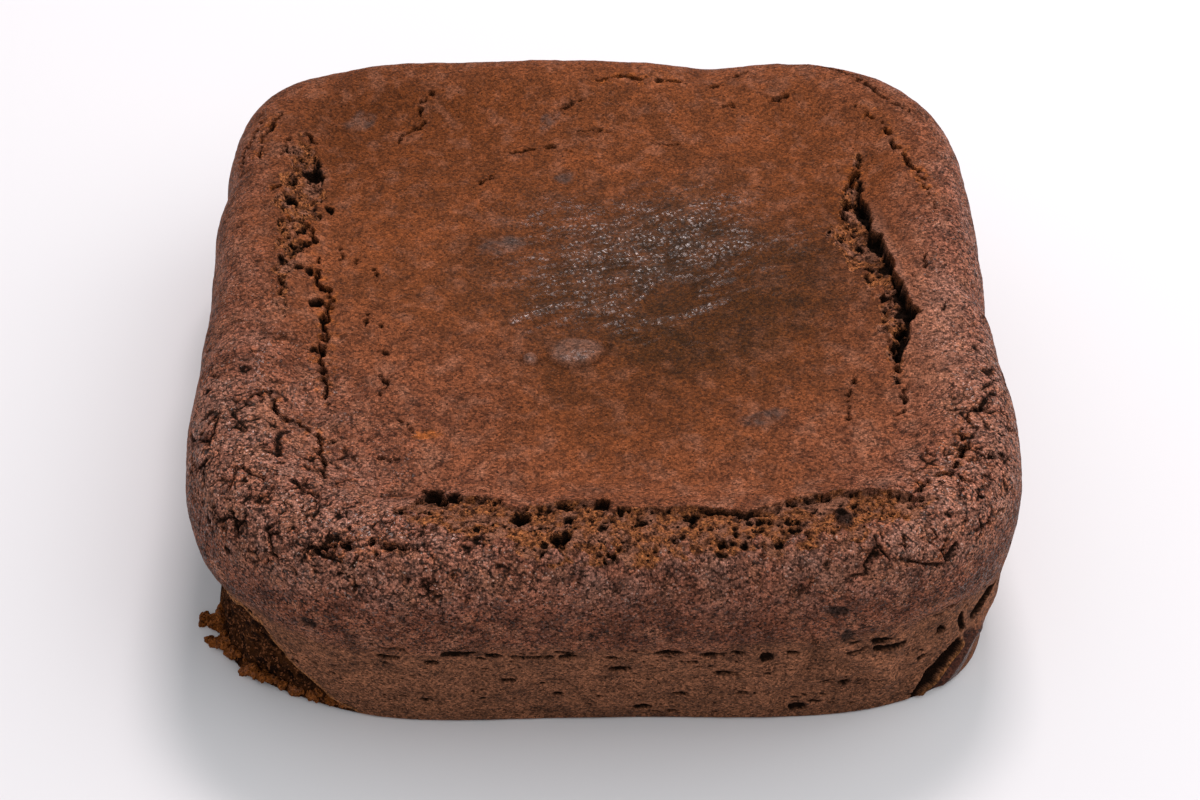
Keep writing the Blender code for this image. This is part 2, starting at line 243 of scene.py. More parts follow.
def cakeSheet():
    # The top is a square grid of rings: point (i, j) goes to the direction atan2(j, i), at the share
    # max(|i|, |j|) / n of the way to the shoulder. The side hangs from its edge as rows of the same columns.
    n = cake["halfCount"]
    i, j = (axis.ravel() for axis in np.meshgrid(np.arange(-n, n + 1), np.arange(-n, n + 1)))
    topDegrees = np.degrees(np.arctan2(j, i))
    radius = planRadius(topDegrees)
    inset = radius - np.maximum(np.abs(i), np.abs(j)) / n * (radius - cake["shoulder"])
    width = 2 * n + 1
    run = np.arange(2 * n)
    edge = np.concatenate([run, run * width + 2 * n, 2 * n * width + 2 * n - run, (2 * n - run) * width])
    rowInset, rowHeight, rowTilt = sideProfile(topDegrees[edge], radius[edge])
    rows = len(rowInset)
    degrees = np.concatenate([topDegrees, np.tile(topDegrees[edge], rows)])
    tilt = np.concatenate([np.zeros_like(inset), *rowTilt])
    reach = np.concatenate([radius, np.tile(radius[edge], rows)]) - np.concatenate([inset, *rowInset])
    x, y = reach * np.cos(np.radians(degrees)), reach * np.sin(np.radians(degrees))
    top = len(inset)
    height = np.concatenate([crownHeight(x[:top], y[:top], inset), *rowHeight])
    place = np.stack([x - planShift[0], y - planShift[1], height], axis=1)
    lift = swells(place * (1.0, 1.0, 0.0), cake["lipSwells"])
    for direction, spread, amount in cake["lipWaves"]:
        lift += amount * bell(turned(degrees, direction), 0.0, spread)
    lift *= 1.0 + cake["lipAtBack"] * smoothStep(np.abs(turned(degrees, 90.0)), 150.0, 110.0)
    place[:, 2] += lift * bell(place[:, 2], cake["lipHeight"] - 1.0, cake["lipReach"]) * (tilt > 1.5)
    out = np.stack([np.cos(np.radians(degrees)) * np.sin(tilt), np.sin(np.radians(degrees)) * np.sin(tilt),
                    np.cos(tilt)], axis=1)
    # faces: the top's cells, then the side's, wound so that they face outwards
    row, column = np.divmod(np.arange(4 * n * n), 2 * n)
    cell = row * width + column
    grid = np.concatenate([edge[None, :], top + np.arange(rows * 8 * n).reshape(rows, 8 * n)])
    following = np.roll(grid, -1, axis=1)
    return SimpleNamespace(
        place=place, degrees=degrees, tilt=tilt, lift=lift, out=out,
        inset=np.concatenate([inset, *rowInset]), lastRow=grid[-1], cellRow=row, cellColumn=column,
        topFaces=np.stack([cell, cell + 1, cell + width + 1, cell + width], axis=1),
        sideFaces=np.stack([grid[:-1], grid[1:], following[1:], following[:-1]], axis=2))


# Where the crust is split into plates: distance in from the widest plan at which the network ends,
# how strong it is, and how much of it has opened into cracks, by direction
plates = {
    "degrees": (-180, -165, -150, -138, -125, -112, -100, -80, -62, -50, -40, -25, -10, 10, 30, 60, 90,
                130, 155, 180),
    "reach": (24, 32, 46, 52, 46, 30, 22, 22, 26, 32, 32, 26, 21, 20, 18, 12, 9, 12, 18, 24),
    "strength": (0.45, 0.6, 0.95, 1, 1, 0.95, 0.85, 0.75, 0.75, 0.9, 1, 0.95, 0.9, 0.8, 0.6, 0.3, 0.2,
                 0.3, 0.4, 0.45),
    "crackle": (0.25, 0.45, 0.9, 1, 0.95, 0.75, 0.5, 0.45, 0.6, 0.95, 1, 0.7, 0.4, 0.3, 0.3, 0.1, 0.05,
                0.15, 0.2, 0.25),
    # in mm: size of the plates, (a seed), widest gap, depth of the gap, step between neighbours
    "networks": ((9, 11, 0.6, 0.9, 0.16), (4.2, 13, 0.42, 0.4, 0.07)),
}

# Tears between a deep edge and a shallow edge, given at stations along x (0) or along y (1): depth, width
# of the steep side, share of the depth at the shallow edge, jag of both edges, width of the painted black
# shadow line, how broken it is, painted shade of the deep half
tears = (
    {   # front: crust edge at the back, crumb rising to the shoulder
        "along": 0, "depth": 2.1, "wall": 0.7, "floor": 0.15, "jag": (1.3, 1.8),
        "shadow": 0.8, "broken": 0.08, "deepShade": 0.3,
        "stations": ((-49, -81.5, -82.5), (-46, -79.6, -86), (-42, -73.5, -86.7), (-33, -76, -90),
                     (-25, -77.6, -92.4), (-20, -81, -95), (-13, -79.7, -96), (-4, -78.8, -96.3),
                     (3, -82.1, -97), (12, -81.8, -96.5), (21, -80.8, -95.5), (32, -82.5, -95.1),
                     (45, -78.2, -94), (55, -75, -92), (62, -75, -90), (68, -77, -87.8),
                     (74, -79.2, -82.4), (77, -80, -80.8)),
    },
    {   # right: deep under the raised outer crust
        "along": 1, "depth": 3.6, "wall": 0.7, "floor": 0.1, "jag": (1.7, 2),
        "shadow": 1.7, "broken": -0.5, "deepShade": 0.85,
        "stations": ((-36, 73.2, 72.4), (-33, 73.5, 73.1), (-28, 74.6, 72.3), (-23, 76.6, 71.5),
                     (-20, 77.6, 70.8), (-14, 79.5, 70.2), (-10, 79.4, 69.8), (-2, 77, 69),
                     (8, 75.5, 65.9), (17, 73.9, 62.6), (23, 73.1, 62), (30, 72.2, 64.2),
                     (36, 71.6, 65.9), (45, 70.8, 69), (50, 71.6, 70.2), (54, 72.2, 71.8)),
    },
    {   # upper left: a shallow crumbly strip
        "along": 1, "depth": 1.7, "wall": 1.6, "floor": 0.8, "jag": (1.8, 2.2),
        "shadow": 0.7, "broken": 0, "deepShade": 0.6,
        "stations": ((-15, -80.2, -81.4), (-6, -80, -81.8), (0, -80.3, -82.5), (4, -79.2, -84.7),
                     (10, -78.3, -84.6), (15, -77, -84), (25, -76.8, -83), (28, -73.7, -84),
                     (31, -73.7, -85.4), (37, -74, -84), (45, -73.7, -83), (55, -77.5, -83),
                     (60, -79.5, -81)),
    },
)

# Narrow cracks: path, half width and depth
cracks = ((((-73, 12), (-73, 5), (-72, 0), (-69.5, -1), (-70, -8), (-70, -17), (-70, -29), (-69, -36),
            (-67, -44)), 1.4, 3), (((-86, 71), (-89, 64), (-91, 58), (-92, 48)), 0.9, 1.6),
          (((-84, 58), (-86, 50)), 0.7, 1.4), (((-91, 66), (-96, 56), (-97, 48)), 0.6, 1.2),
          (((-82, 2), (-82, -7)), 0.7, 1.8),
          (((-83, 24), (-80, 26), (-76, 24), (-75, 18), (-77, 12)), 1.2, 2.2),
          (((-80, 61), (-77, 58), (-75, 61)), 0.8, 1.8), (((-87, 36), (-83, 41), (-80, 44)), 1, 2),
          (((-68, 18), (-67, 11)), 0.4, 1.4), (((-65, 13), (-63, 10)), 0.4, 1.2),
          (((-60, 9), (-57, 4)), 0.4, 1.2), (((-59, -7), (-59, -14)), 0.5, 1.6),
          (((-56, -13), (-55, -17)), 0.4, 1.2), (((-57, -20), (-53, -26)), 0.4, 1.4),
          (((-57, -30), (-53, -34), (-56, -40)), 0.5, 1.4),
          (((-45, 80), (-49, 76), (-48, 70), (-54, 63), (-55, 58)), 0.6, 2),
          (((-50, 63), (-46, 63)), 0.4, 1.2), (((-26, 56), (-19, 58), (-12, 59), (-7, 56)), 0.6, 1.8),
          (((-32, 43), (-27, 48)), 0.45, 1.4), (((-11, 73), (-3, 77)), 0.6, 1.6),
          (((-6, 66), (6, 66)), 0.35, 1.1), (((1, 84), (8, 86), (16, 85), (26, 85)), 1, 2.4),
          (((31, 83), (37, 84)), 0.6, 1.6), (((37, 87), (44, 89)), 0.6, 1.6),
          (((33, 76), (39, 76)), 0.5, 1.4), (((46, 77), (52, 77), (56, 79)), 0.7, 1.8),
          (((12, 60), (24, 61)), 0.4, 1.2),
          (((53, 95), (62, 92), (73, 86), (80, 76), (88, 68)), 0.8, 1.8),
          (((73, 72), (79, 64), (81, 55), (85, 46), (88, 37), (89, 27)), 1, 2.6),
          (((63, -32), (60, -42), (60, -46), (59, -52)), 0.6, 1.8), (((75, -40), (72, -49)), 0.6, 1.8),
          (((71.7, 50), (68.6, 42), (66, 33), (66, 27), (67.5, 22)), 1.3, 3),
          (((73.6, -34), (73.4, -28), (73.8, -21)), 1.4, 3), (((74.5, -37), (73.5, -46)), 0.7, 2),
          (((85, 8), (84, 2)), 0.6, 1.6), (((88, -9), (87, -14)), 0.6, 1.4),
          (((80, 3), (80, -5)), 0.4, 1.2), (((90, -50), (95, -48)), 0.5, 1.4),
          (((89, -50), (86, -57), (85, -67), (82, -71), (77, -73), (72, -78)), 1.2, 2.8),
          (((86, -68), (97, -63)), 0.5, 1.4),
          (((-71, -92), (-63, -92), (-57, -92), (-51, -93), (-44, -94)), 1.1, 2.4),
          (((-83, -39), (-79, -49), (-73, -51), (-69, -54), (-68, -64), (-68, -68)), 0.9, 2.2),
          (((-68, -56), (-62, -55)), 0.5, 1.4), (((-56, -61), (-49, -61)), 0.5, 1.4),
          (((-52, -45), (-46, -53)), 0.45, 1.3))

# Places that stand out on the top: middle, half axes, direction in degrees
# holes: middle, radius, depth
spots = {
    "bluish": (((-77, 46), (3.2, 5), 70), ((-65, 69), (5, 3), 20), ((-13, 70), (4, 2.5), 60),
               ((39, -48), (6.5, 3), 20), ((34, 5), (2.6, 1), 5), ((-9, 46), (3, 2), 0),
               ((-26, 18), (7, 4), 20)),
    "blister": (((-6.5, -22.5), (7.2, 5.2), 16), ((-18, -25.5), (2, 2.2), 0)),
    "prune": ((55, -85), (2.2, 3.6), 5),
    "orange": ((-43, -53), (4, 2.2), 20),
    "ellipse": ((17.5, -1), (10, 5.2), 38),
    "raisedCrust": ((73.5, 34), (76, 12), (80.5, -14), (78, -28)),     # path along the right tear
    "holes": (((-20, -84), 2.2, 3.4), ((-11, -91), 2.4, 3.6), ((-1, -79.5), 2, 2.8),
              ((-41, -74), 2.4, 2.6), ((-36, -75), 1.4, 2.2), ((-77, 46), 3.2, 2.6), ((-82, 33), 1.9, 2),
              ((-72, 32), 1.4, 1.6), ((-80, 14), 1.4, 2), ((-76, 16), 1.2, 1.6), ((-82, 8), 1.2, 1.6),
              ((-78, 6), 1.3, 1.6), ((-9, -84), 1.6, 2.2), ((8, -86), 1.2, 1.8), ((20, -84), 1.5, 2),
              ((30, -90), 1, 1.5), ((35, -89), 1.1, 1.5), ((26, -93), 1.2, 1.6), ((44, -86), 1.1, 1.6),
              ((76, -18), 1.6, 2.6), ((-71.6, -0.5), 1.6, 2.4), ((-72.6, -6.5), 1.7, 2.6),
              ((-70.4, -12.5), 1.7, 2.4), ((-71.8, -23), 1.3, 2.2), ((-75, 5), 1.4, 2),
              ((-78, 20), 1.3, 2), ((74, -6), 1.5, 2.2), ((70, 8), 1.2, 1.8), ((74, -26), 1.6, 2.4),
              ((69, 17), 1.2, 1.8)),
}
# Regions lighter (+) or darker (-): middle, spread, share. The lighter right rim and corners and the darker
# left rim are painted light and shade; the rest are patches, and the front darkens towards its bottom
tones = (((-33, -45, 58), (24, 16, 20), -0.11), ((6.5, -41, 57.5), (28, 13, 20), -0.12),
         ((38, 0, 56), (20, 18, 20), -0.1), ((23, -100, 54), (36, 12, 10), -0.13),
         ((84, -81, 59), (14, 14, 12), 0.2), ((86, -23, 62), (10, 32, 12), 0.19),
         ((82, 59, 61), (12, 12, 12), 0.06), ((-75, 62, 61), (20, 24, 14), -0.13),
         ((-92, -36, 61), (10, 30, 14), -0.07), ((-41, -98, 57), (26, 12, 8), 0.06),
         ((30, -99, 3), (120, 30, 3), -0.2))
# Raised lines of dried syrup: path, half width, height
folds = ((((9, -10), (14, -10.7), (20.3, -9.1), (26.9, -5.3), (33.8, -1.7)), 1.1, 0.9),
         (((7.3, -5.3), (11.6, 1.8), (15.1, 5.7), (18.7, 9.6)), 0.7, 0.5),
         (((-2.1, 3.6), (6, 6.5), (12, 8), (19, 9.6)), 0.8, 0.6),
         (((-24, -12), (-17, -8), (-9, -5)), 0.8, 0.5), (((-8, -9), (-2, -6), (4, -3)), 0.7, 0.5),
         (((-1, 19), (8, 23), (18, 25)), 0.9, 0.6), (((2, 14), (10, 16.5), (17, 18)), 0.9, 0.6),
         (((26, 13), (33, 19), (40, 23)), 0.8, 0.5))

# Pores of the side: size, seed, how much longer than high, share of cells with one, more of them under
# the lip, depth. Holes and dark spots of its front: across and height, half axes
wallPores = ((3.4, 60, 3, 0.05, 0.5, 1), (2.2, 61, 2.6, 0.08, 0.4, 0.8), (1.3, 62, 2.2, 0.2, 0.3, 0.45))
wallHoles = (((-35, 31.4), (4.2, 1.7)), ((-27.5, 30.6), (2.2, 1.5)), ((-18, 29.8), (4.4, 1.1)),
             ((-9.5, 29.2), (2, 1.2)), ((14, 31.8), (3.4, 1.1)), ((24, 29.6), (2.4, 0.8)),
             ((31, 30.4), (1.6, 0.9)), ((38, 27.6), (2, 1.8)), ((44, 29.6), (1.3, 0.9)),
             ((20, 27), (1.4, 0.7)), ((1, 28), (1.6, 0.7)), ((-42, 27), (1.8, 0.8)),
             ((65, 31), (2.6, 1.5)), ((9, 6), (2.8, 1.4)), ((47, 5), (2, 1.3)), ((3, 23), (3.2, 0.9)),
             ((-24, 19), (1.9, 0.9)), ((-52, 28.5), (3, 1.1)), ((28, 21), (3.6, 0.9)),
             ((18, 12), (2, 0.8)), ((-12, 12), (1.6, 0.8)), ((-44, 10), (2, 0.8)), ((58, 14), (1.6, 0.9)))
sideSpots = (((53.5, 46), (3.4, 1.5)), ((56.8, 36), (1.6, 3)), ((-70, 40), (2.4, 1.4)))
# Creases that the tin left in the side: (degrees, height) along each, and the step across it
creases = ((((-63.5, 33), (-66, 14)), -0.9), (((-63.5, 33), (-55.5, 17), (-54, 8)), 0.9),
           (((-66, 14), (-55.5, 17)), 0.6), (((-70, 31), (-66, 14), (-67, 4)), -0.5),
           (((-52, 30), (-53.5, 17), (-51, 6)), -0.6), (((-118, 30), (-112, 12), (-113, 3)), 0.25),
           (((-12, 31), (-6, 13), (-9, 2)), 0.6), (((18, 31), (27, 15), (24, 4)), 0.75),
           (((27, 15), (36, 12)), -0.5), (((82, 31), (75, 12)), 0.6),
           (((103, 31), (112, 16), (109, 2)), -0.7), (((112, 16), (122, 12)), 0.5),
           (((169, 31), (161, 13), (164, 3)), 0.6), (((-173, 31), (-167, 12)), -0.5))

corner = {   # front left corner of the wall, where the skin stayed behind in the tin
    "degrees": (-174, -171, -168, -165, -162, -159, -156, -150, -140, -137, -134, -132, -129.5, -126,
                -123.5, -122),
    "edge": (-4, 2, 5, 12, 15, 24, 27, 30.5, 29.5, 29, 26.5, 20, 14, 4.5, 0.5, -2),
    "depth": 3.6,
}
# Front right corner of the wall: a deep fold pressed into the cake in the tin. All paths are
# (degrees, height); the gap opens between its two edges, and the crust stands up along the right one.
pleat = {
    "middle": -45.0, "mmPerDegree": 2.2, "depth": 3.8,
    "gapLeft": ((-44.6, 18.5), (-46.6, 14.8), (-48.3, 11), (-49.3, 6), (-50, 0)),
    "gapRight": ((-43.9, 18), (-43.6, 14.5), (-44.7, 12), (-45.7, 9.3), (-46.9, 6), (-49, 0)),
    # height of the crust by the distance right of the gap: ridge, channel, outer edge
    "profile": ((0, 0.6, 2.2, 3.4, 5.2, 8, 11), (1.5, 1.3, -1.5, -0.8, 1, 0.5, 0)),
    # hollows under the lip: path, half width, depth
    "hollows": ((((-44.2, 25), (-43.6, 20.5)), 0.8, 1.2),
                (((-41.2, 21.6), (-39.8, 22.2), (-38, 23), (-36.5, 25)), 1.9, 2.2),
                (((-47.3, 25), (-47.1, 24.8)), 1, 1.4), (((-49.8, 17.5), (-49.6, 17.2)), 0.8, 1),
                (((-56, 27.4), (-52.6, 26.6)), 0.9, 1.2)),
    "knob": ((-40.3, 14.6), (2.2, 3.2), 0.9),
    "rust": ((14.3, 15.0), 3.0),              # orange patch: mm along the corner and height, size
}

zones = {
    # gaussian patches: middle, spreads, direction in degrees, amount
    "far": (((-60, 75), (45, 40), 0, 1.0), ((66, 20), (22, 60), 0, 0.8)),    # darkest patches, at the back left and along the right
    "wet": (((16, 20), (36, 19), 24, 0.9), ((-8, 28), (28, 16), 0, 0.5), ((-4, -8), (22, 9), 0, 0.45)),
    # painted light: a paler patch on the right rim
    "raisedCrust": (((86, -23), (9, 30), 0, 0.45),),
    "sticky": ((19, 2), (62, 52)),            # the middle where syrup rose: middle, half axes
    "ridgeWay": 24.0,                         # direction of its ridges in degrees
    # layers of swells: amount, size of the lumps in mm, seed
    "stickyEdge": ((0.16, 22.0, 36), (0.05, 6.0, 37)),
    "waver": (((1.3, 6.0, 31), (0.55, 1.9, 32)), ((1.3, 6.0, 33), (0.55, 1.9, 34))),
    "broad": ((0.2, 24.0, 84), (0.12, 11.0, 85)),
    "dusted": ((0.2, 9.0, 86), (0.11, 3.6, 87), (0.05, 1.5, 88)),
    "bloomed": ((0.18, 6.5, 89), (0.12, 2.8, 90), (0.07, 1.2, 94)),
    "lumps": ((0.5, 14.0, 1), (0.15, 5.5, 2), (0.08, 2.4, 3)),
    "pebbles": ((0.06, 0.85, 15), (0.05, 1.9, 16)),
}


def pathWay(x, y, path):
    # distance to a chain of straight pieces, the same with a sign (left +), and the share of the way along
    corners = np.array(path, float)
    lengths = np.linalg.norm(np.diff(corners, axis=0), axis=1)
    starts = np.concatenate([[0.0], np.cumsum(lengths)])
    best = np.full(x.shape, 1e9)
    signed = np.zeros_like(best)
    along = np.zeros_like(best)
    for start, end, length, before in zip(corners[:-1], corners[1:], lengths, starts):
        way = (end - start) / length
        run = np.clip((x - start[0]) * way[0] + (y - start[1]) * way[1], 0.0, length)
        off = np.hypot(x - start[0] - run * way[0], y - start[1] - run * way[1])
        side = way[0] * (y - start[1]) - way[1] * (x - start[0])
        nearer = off < best
        best = np.where(nearer, off, best)
        signed = np.where(nearer, np.copysign(off, side), signed)
        along = np.where(nearer, (before + run) / starts[-1], along)
    return best, signed, along


def spotWeight(x, y, spot):
    # 1 inside a turned ellipse, falling to 0 over its outer third, and the place in it by half axes
    middle, (halfA, halfB), degrees = spot
    u, v = tilted(x, y, middle, degrees)
    u, v = u / halfA, v / halfB
    return fade(np.hypot(u, v), 0.65, 1.15), u, v


def patchesOf(x, y, table):
    # gaussians laid over each other, each turned to its direction
    return sum(amount * mound(*tilted(x, y, middle, degrees), (0.0, 0.0), spreads)
               for middle, spreads, degrees, amount in table)


def porous(points, seed, sizes=((3.4, 0.34), (1.9, 0.5), (1.1, 0.6))):
    # round bubbles in torn crumb: in a share of the cells, a bowl r * sqrt(1 - (d/r)^2) deep around the seed
    sink = np.zeros(len(points))
    for number, (size, filled) in enumerate(sizes):
        first, second, owner = nearestSeeds(points, size, seed + number)
        radius = 0.40 * (0.65 + 0.5 * ((owner * 37.0) % 1.0))
        bowl = np.sqrt(np.clip(1.0 - (first / radius) ** 2, 0.0, 1.0)) * radius * size
        sink = np.maximum(sink, np.where(owner < filled, bowl, 0.0))
    return sink


def keepMost(values, chosen, others):
    # at the chosen points the larger of what is there and what comes
    values[chosen] = np.maximum(values[chosen], others)


def layZones(skin):
    # rim, dust and crackle fade with the distance in from the widest plan; the wall starts at the lip;
    # the rest are gaussian patches and clouds of swells
    place, share = skin.place, skin.share
    reach, strength, crackle = (np.interp(skin.degrees, plates["degrees"], plates[key])
                                for key in ("reach", "strength", "crackle"))
    wander = skin.inset + 5.0 * swell(place, 16.0, 35)
    ragged = 4.2 * swell(place * (0.4, 0.4, 1.0), 7.0, 39) + skin.waver[:, 0]
    skin.line = cake["lipHeight"] + skin.lift
    skin.underLip = smoothStep(skin.line - skin.z, -7.5 + ragged, 4.0 + ragged)
    skin.lowSide = fade(skin.z, 40.0, 52.0)
    rim = strength * fade(wander, 0.2 * reach, 1.25 * reach)
    dust = strength * fade(skin.inset + 8.0 * swell(place, 12.0, 40), 0.6 * reach, 2.4 * reach)
    share["rim"] = np.clip(rim, 0.0, 1.0) * (1.0 - skin.underLip)
    share["dust"] = np.clip(dust, 0.0, 1.0) * (1.0 - skin.underLip)
    share["wall"] = skin.underLip
    crackle = crackle * fade(wander, 0.45 * reach, 1.1 * reach)
    skin.crackle = np.clip(crackle * smoothStep(skin.z + 2.0 * skin.waver[:, 0], 44.0, 57.0), 0.0, 1.0)
    far = patchesOf(skin.x, skin.y, zones["far"])
    share["far"] = np.clip(far + 0.25 * swell(place, 15.0, 41), 0.0, 1.0)
    share["broad"] = 0.5 + swells(place, zones["broad"])
    share["dusted"] = smoothStep(0.5 + swells(place, zones["dusted"]), 0.46, 0.62)
    share["bloomed"] = smoothStep(0.5 + swells(place, zones["bloomed"]), 0.48, 0.68)
    (atX, atY), (halfX, halfY) = zones["sticky"]
    off = np.hypot((skin.x - atX) / halfX, (skin.y - atY) / halfY) + swells(place, zones["stickyEdge"])
    share["sticky"] = fade(off, 0.3, 1.15) * (skin.z > 50.0)
    wet = patchesOf(skin.x, skin.y, zones["wet"]) * (0.8 + 0.6 * swell(place, 7.0, 38))
    share["wet"] = np.clip(wet, 0.0, 1.0) * share["sticky"]
    # tone: painted light and shade by region, from the tones table
    skin.tone = np.ones(len(place))
    for middle, spreads, amount in tones:
        skin.tone += amount * np.exp(-(((place - middle) / spreads) ** 2).sum(axis=1))


def swellMiddle(skin):
    # broad lumps, then finer and finer ones; in the middle ridges 1 - 2|noise| that run up to the right
    place, share, z = skin.place, skin.share, skin.z
    sticky = share["sticky"]
    skin.rise = swells(place, zones["lumps"])
    skin.rise += swell(place, 1.15, 4) * (0.025 + 0.03 * share["rim"] + 0.02 * sticky)
    along, across = tilted(skin.x, skin.y, (0.0, 0.0), zones["ridgeWay"])
    run = np.stack([along / 3.2, across, z], axis=1)
    bent = skin.waver.sum(axis=1)[:, None] * (0.0, 0.25, 0.0)
    ridges = 1.0 - 2.0 * np.abs(swell(run + bent, 4.2, 5))
    skin.rise += sticky * ((0.2 + 0.46 * share["wet"]) * ridges
                           + (0.04 + 0.17 * share["wet"]) * swell(run * (1.8, 1.0, 1.0), 1.4, 6))
    share["wet"] *= 0.35 + 0.85 * smoothStep(ridges, 0.0, 0.7)


def crackPlates(skin):
    # Furrows along the edges of two networks of cells, open only here and there, and a step between
    # neighbours. The furrows are painted near black as shade, plate tops get a painted pale sheen, and
    # plates are rusty where they part (gappy).
    place = skin.place
    network = skin.crackle > 0.02
    crackle, plate = skin.crackle[network], place[network]
    wandering = plate.copy()
    wandering[:, :2] += (skin.waver[network] + 0.8 * skin.jitter[network]) * 0.7
    cut, tiles, plateTop = np.zeros(len(plate)), np.zeros(len(plate)), np.ones(len(plate))
    for size, seed, widest, deepest, step in plates["networks"]:
        first, second, owner = nearestSeeds(wandering, size, seed)
        gap = (second - first) * size                    # about twice the distance to the edge, in mm
        opened = smoothStep(swell(plate, 0.8 * size, seed + 1) + 0.35 * (crackle - 1.0), 0.02, 0.36)
        width = widest * (0.25 + 0.75 * opened)
        furrow = (0.04 + 0.96 * opened) * fade(gap, 0.5 * width, width + 0.15)
        tiles += step * (owner - 0.5) * smoothStep(gap, 0.0, 1.0) - deepest * furrow
        cut = np.maximum(cut, furrow * min(1.0, deepest / 0.4))
        plateTop *= 1.0 - (0.35 + 0.65 * opened) * fade(gap, 0.3 + width, 1.6 + 1.5 * width)
    pebbled = skin.share["rim"] * (1.0 - 0.6 * skin.lowSide)
    skin.rise += pebbled * swells(place, zones["pebbles"])
    skin.rise[network] += crackle * tiles
    skin.cleft, skin.frosted, skin.gappy = (np.zeros(len(place)) for _ in range(3))
    skin.cleft[network] = np.clip(crackle * 1.6, 0.0, 1.0) * cut
    skin.frosted[network] = plateTop * smoothStep(crackle + 0.5 * swell(plate, 8.0, 95), 0.3, 0.8)
    skin.gappy[network] = (1.0 - plateTop) * smoothStep(crackle, 0.2, 0.6)


def tearHollows(skin):
    # Each tear is a hollow whose floor rises from its deep edge to its shallow one, a broken black line
    # under the deep edge (painted shadow), and painted shade on the steep side and the deep half
    place, x, y = skin.place, skin.x, skin.y
    skin.torn = np.full(len(place), -9.0)
    deep, shadow, deepShade = (np.zeros(len(place)) for _ in range(3))
    for tear in tears:
        a, b = (x, y) if tear["along"] == 0 else (y, x)
        stations = np.array(tear["stations"], float)
        at, deepLine, shallowLine = stations.T
        near = (a > at[0] - 1) & (a < at[-1] + 1) & skin.onTop
        near &= (b > stations[:, 1:].min() - 6) & (b < stations[:, 1:].max() + 6)
        here, waver, jitter = place[near], skin.waver[near], skin.jitter[near]
        jagDeep, jagShallow = tear["jag"]
        deepEdge = np.interp(a[near], at, deepLine) + jagDeep * 0.7 * waver[:, 1]
        shallowEdge = np.interp(a[near], at, shallowLine) + jagShallow * waver[:, 0]
        fromDeep, fromShallow = deepEdge - b[near], b[near] - shallowEdge
        width = np.maximum(deepEdge - shallowEdge, 0.3)
        inside = np.minimum(fromDeep, fromShallow)
        slope = np.clip(1.0 - fromDeep / width, 0.0, 1.0)
        ends = smoothStep(width, 0.6, 6.0)
        body = smoothStep(fromDeep, -0.1, tear["wall"]) * smoothStep(fromShallow, -0.2, 1.6)
        body = body * (0.85 + 0.45 * swell(here, 8.0, 46))
        falling = tear["floor"] + (1.0 - tear["floor"]) * slope ** 1.15
        keepMost(deep, near, tear["depth"] * (0.35 + 0.65 * ends) * body * falling)
        reached = tear["shadow"] * np.clip(0.8 + 1.6 * swell(here, 5.0, 48), 0.1, 2.2) + 0.5 * jitter[:, 0]
        under = smoothStep(fromDeep, -0.25, 0.0) * fade(fromDeep, reached, 1.5 * reached + 0.1)
        under = under * smoothStep(swell(here, 3.2, 58) + 0.3 * waver[:, 0] - tear["broken"], -0.1, 0.15)
        keepMost(shadow, near, under * smoothStep(width, 0.6, 3.0))
        steep = smoothStep(fromDeep, -0.35, 0.0) * fade(fromDeep, tear["wall"], tear["wall"] + 0.5)
        dim = smoothStep(slope + 0.4 * swell(here, 2.4, 50), 0.45, 1.05) * smoothStep(inside, 0.0, 1.0)
        steep = steep * smoothStep(tear["depth"] * ends, 2.2, 3.2)
        keepMost(deepShade, near, np.maximum(steep, tear["deepShade"] * dim))
        keepMost(skin.torn, near, inside)
    flakes = smoothStep(swell(place, 4.2, 47) + 0.12 * skin.waver[:, 0], 0.26, 0.42)
    flakes = 6.0 * flakes * smoothStep(-skin.torn, -5.5, -1.5) * fade(deep, 0.7, 1.5)
    crumb = smoothStep(skin.torn - flakes, -0.35, 0.15)
    bared = crumb > 0.001
    pits = porous(place[bared], 41)
    rough = swells(place[bared], ((0.5, 2.6, 44), (0.3, 1.3, 45)))
    skin.rise[bared] += crumb[bared] * (rough - 1.15 * pits - 0.9 * shadow[bared]) - deep[bared]
    # painted shade: the shadow line goes into the pits' near black
    pits = np.maximum(pits, 0.9 * shadow[bared])
    skin.cleft[bared] = np.maximum(skin.cleft[bared] * (1.0 - crumb[bared]),
                                   crumb[bared] * smoothStep(pits, 0.18, 0.6))
    patchy = swell(place, 1.6, 49)
    # painted shade: darker the deeper the tear, and on its steep side
    scarp = np.clip(deep / 3.4, 0.0, 1.0) ** 1.7 * np.clip(0.7 + 0.8 * patchy, 0.2, 1.0)
    skin.share["scarp"] = crumb * np.maximum(scarp, deepShade * np.clip(0.85 + 0.7 * patchy, 0.3, 1.0))
    skin.share["torn"] = skin.crumb = crumb


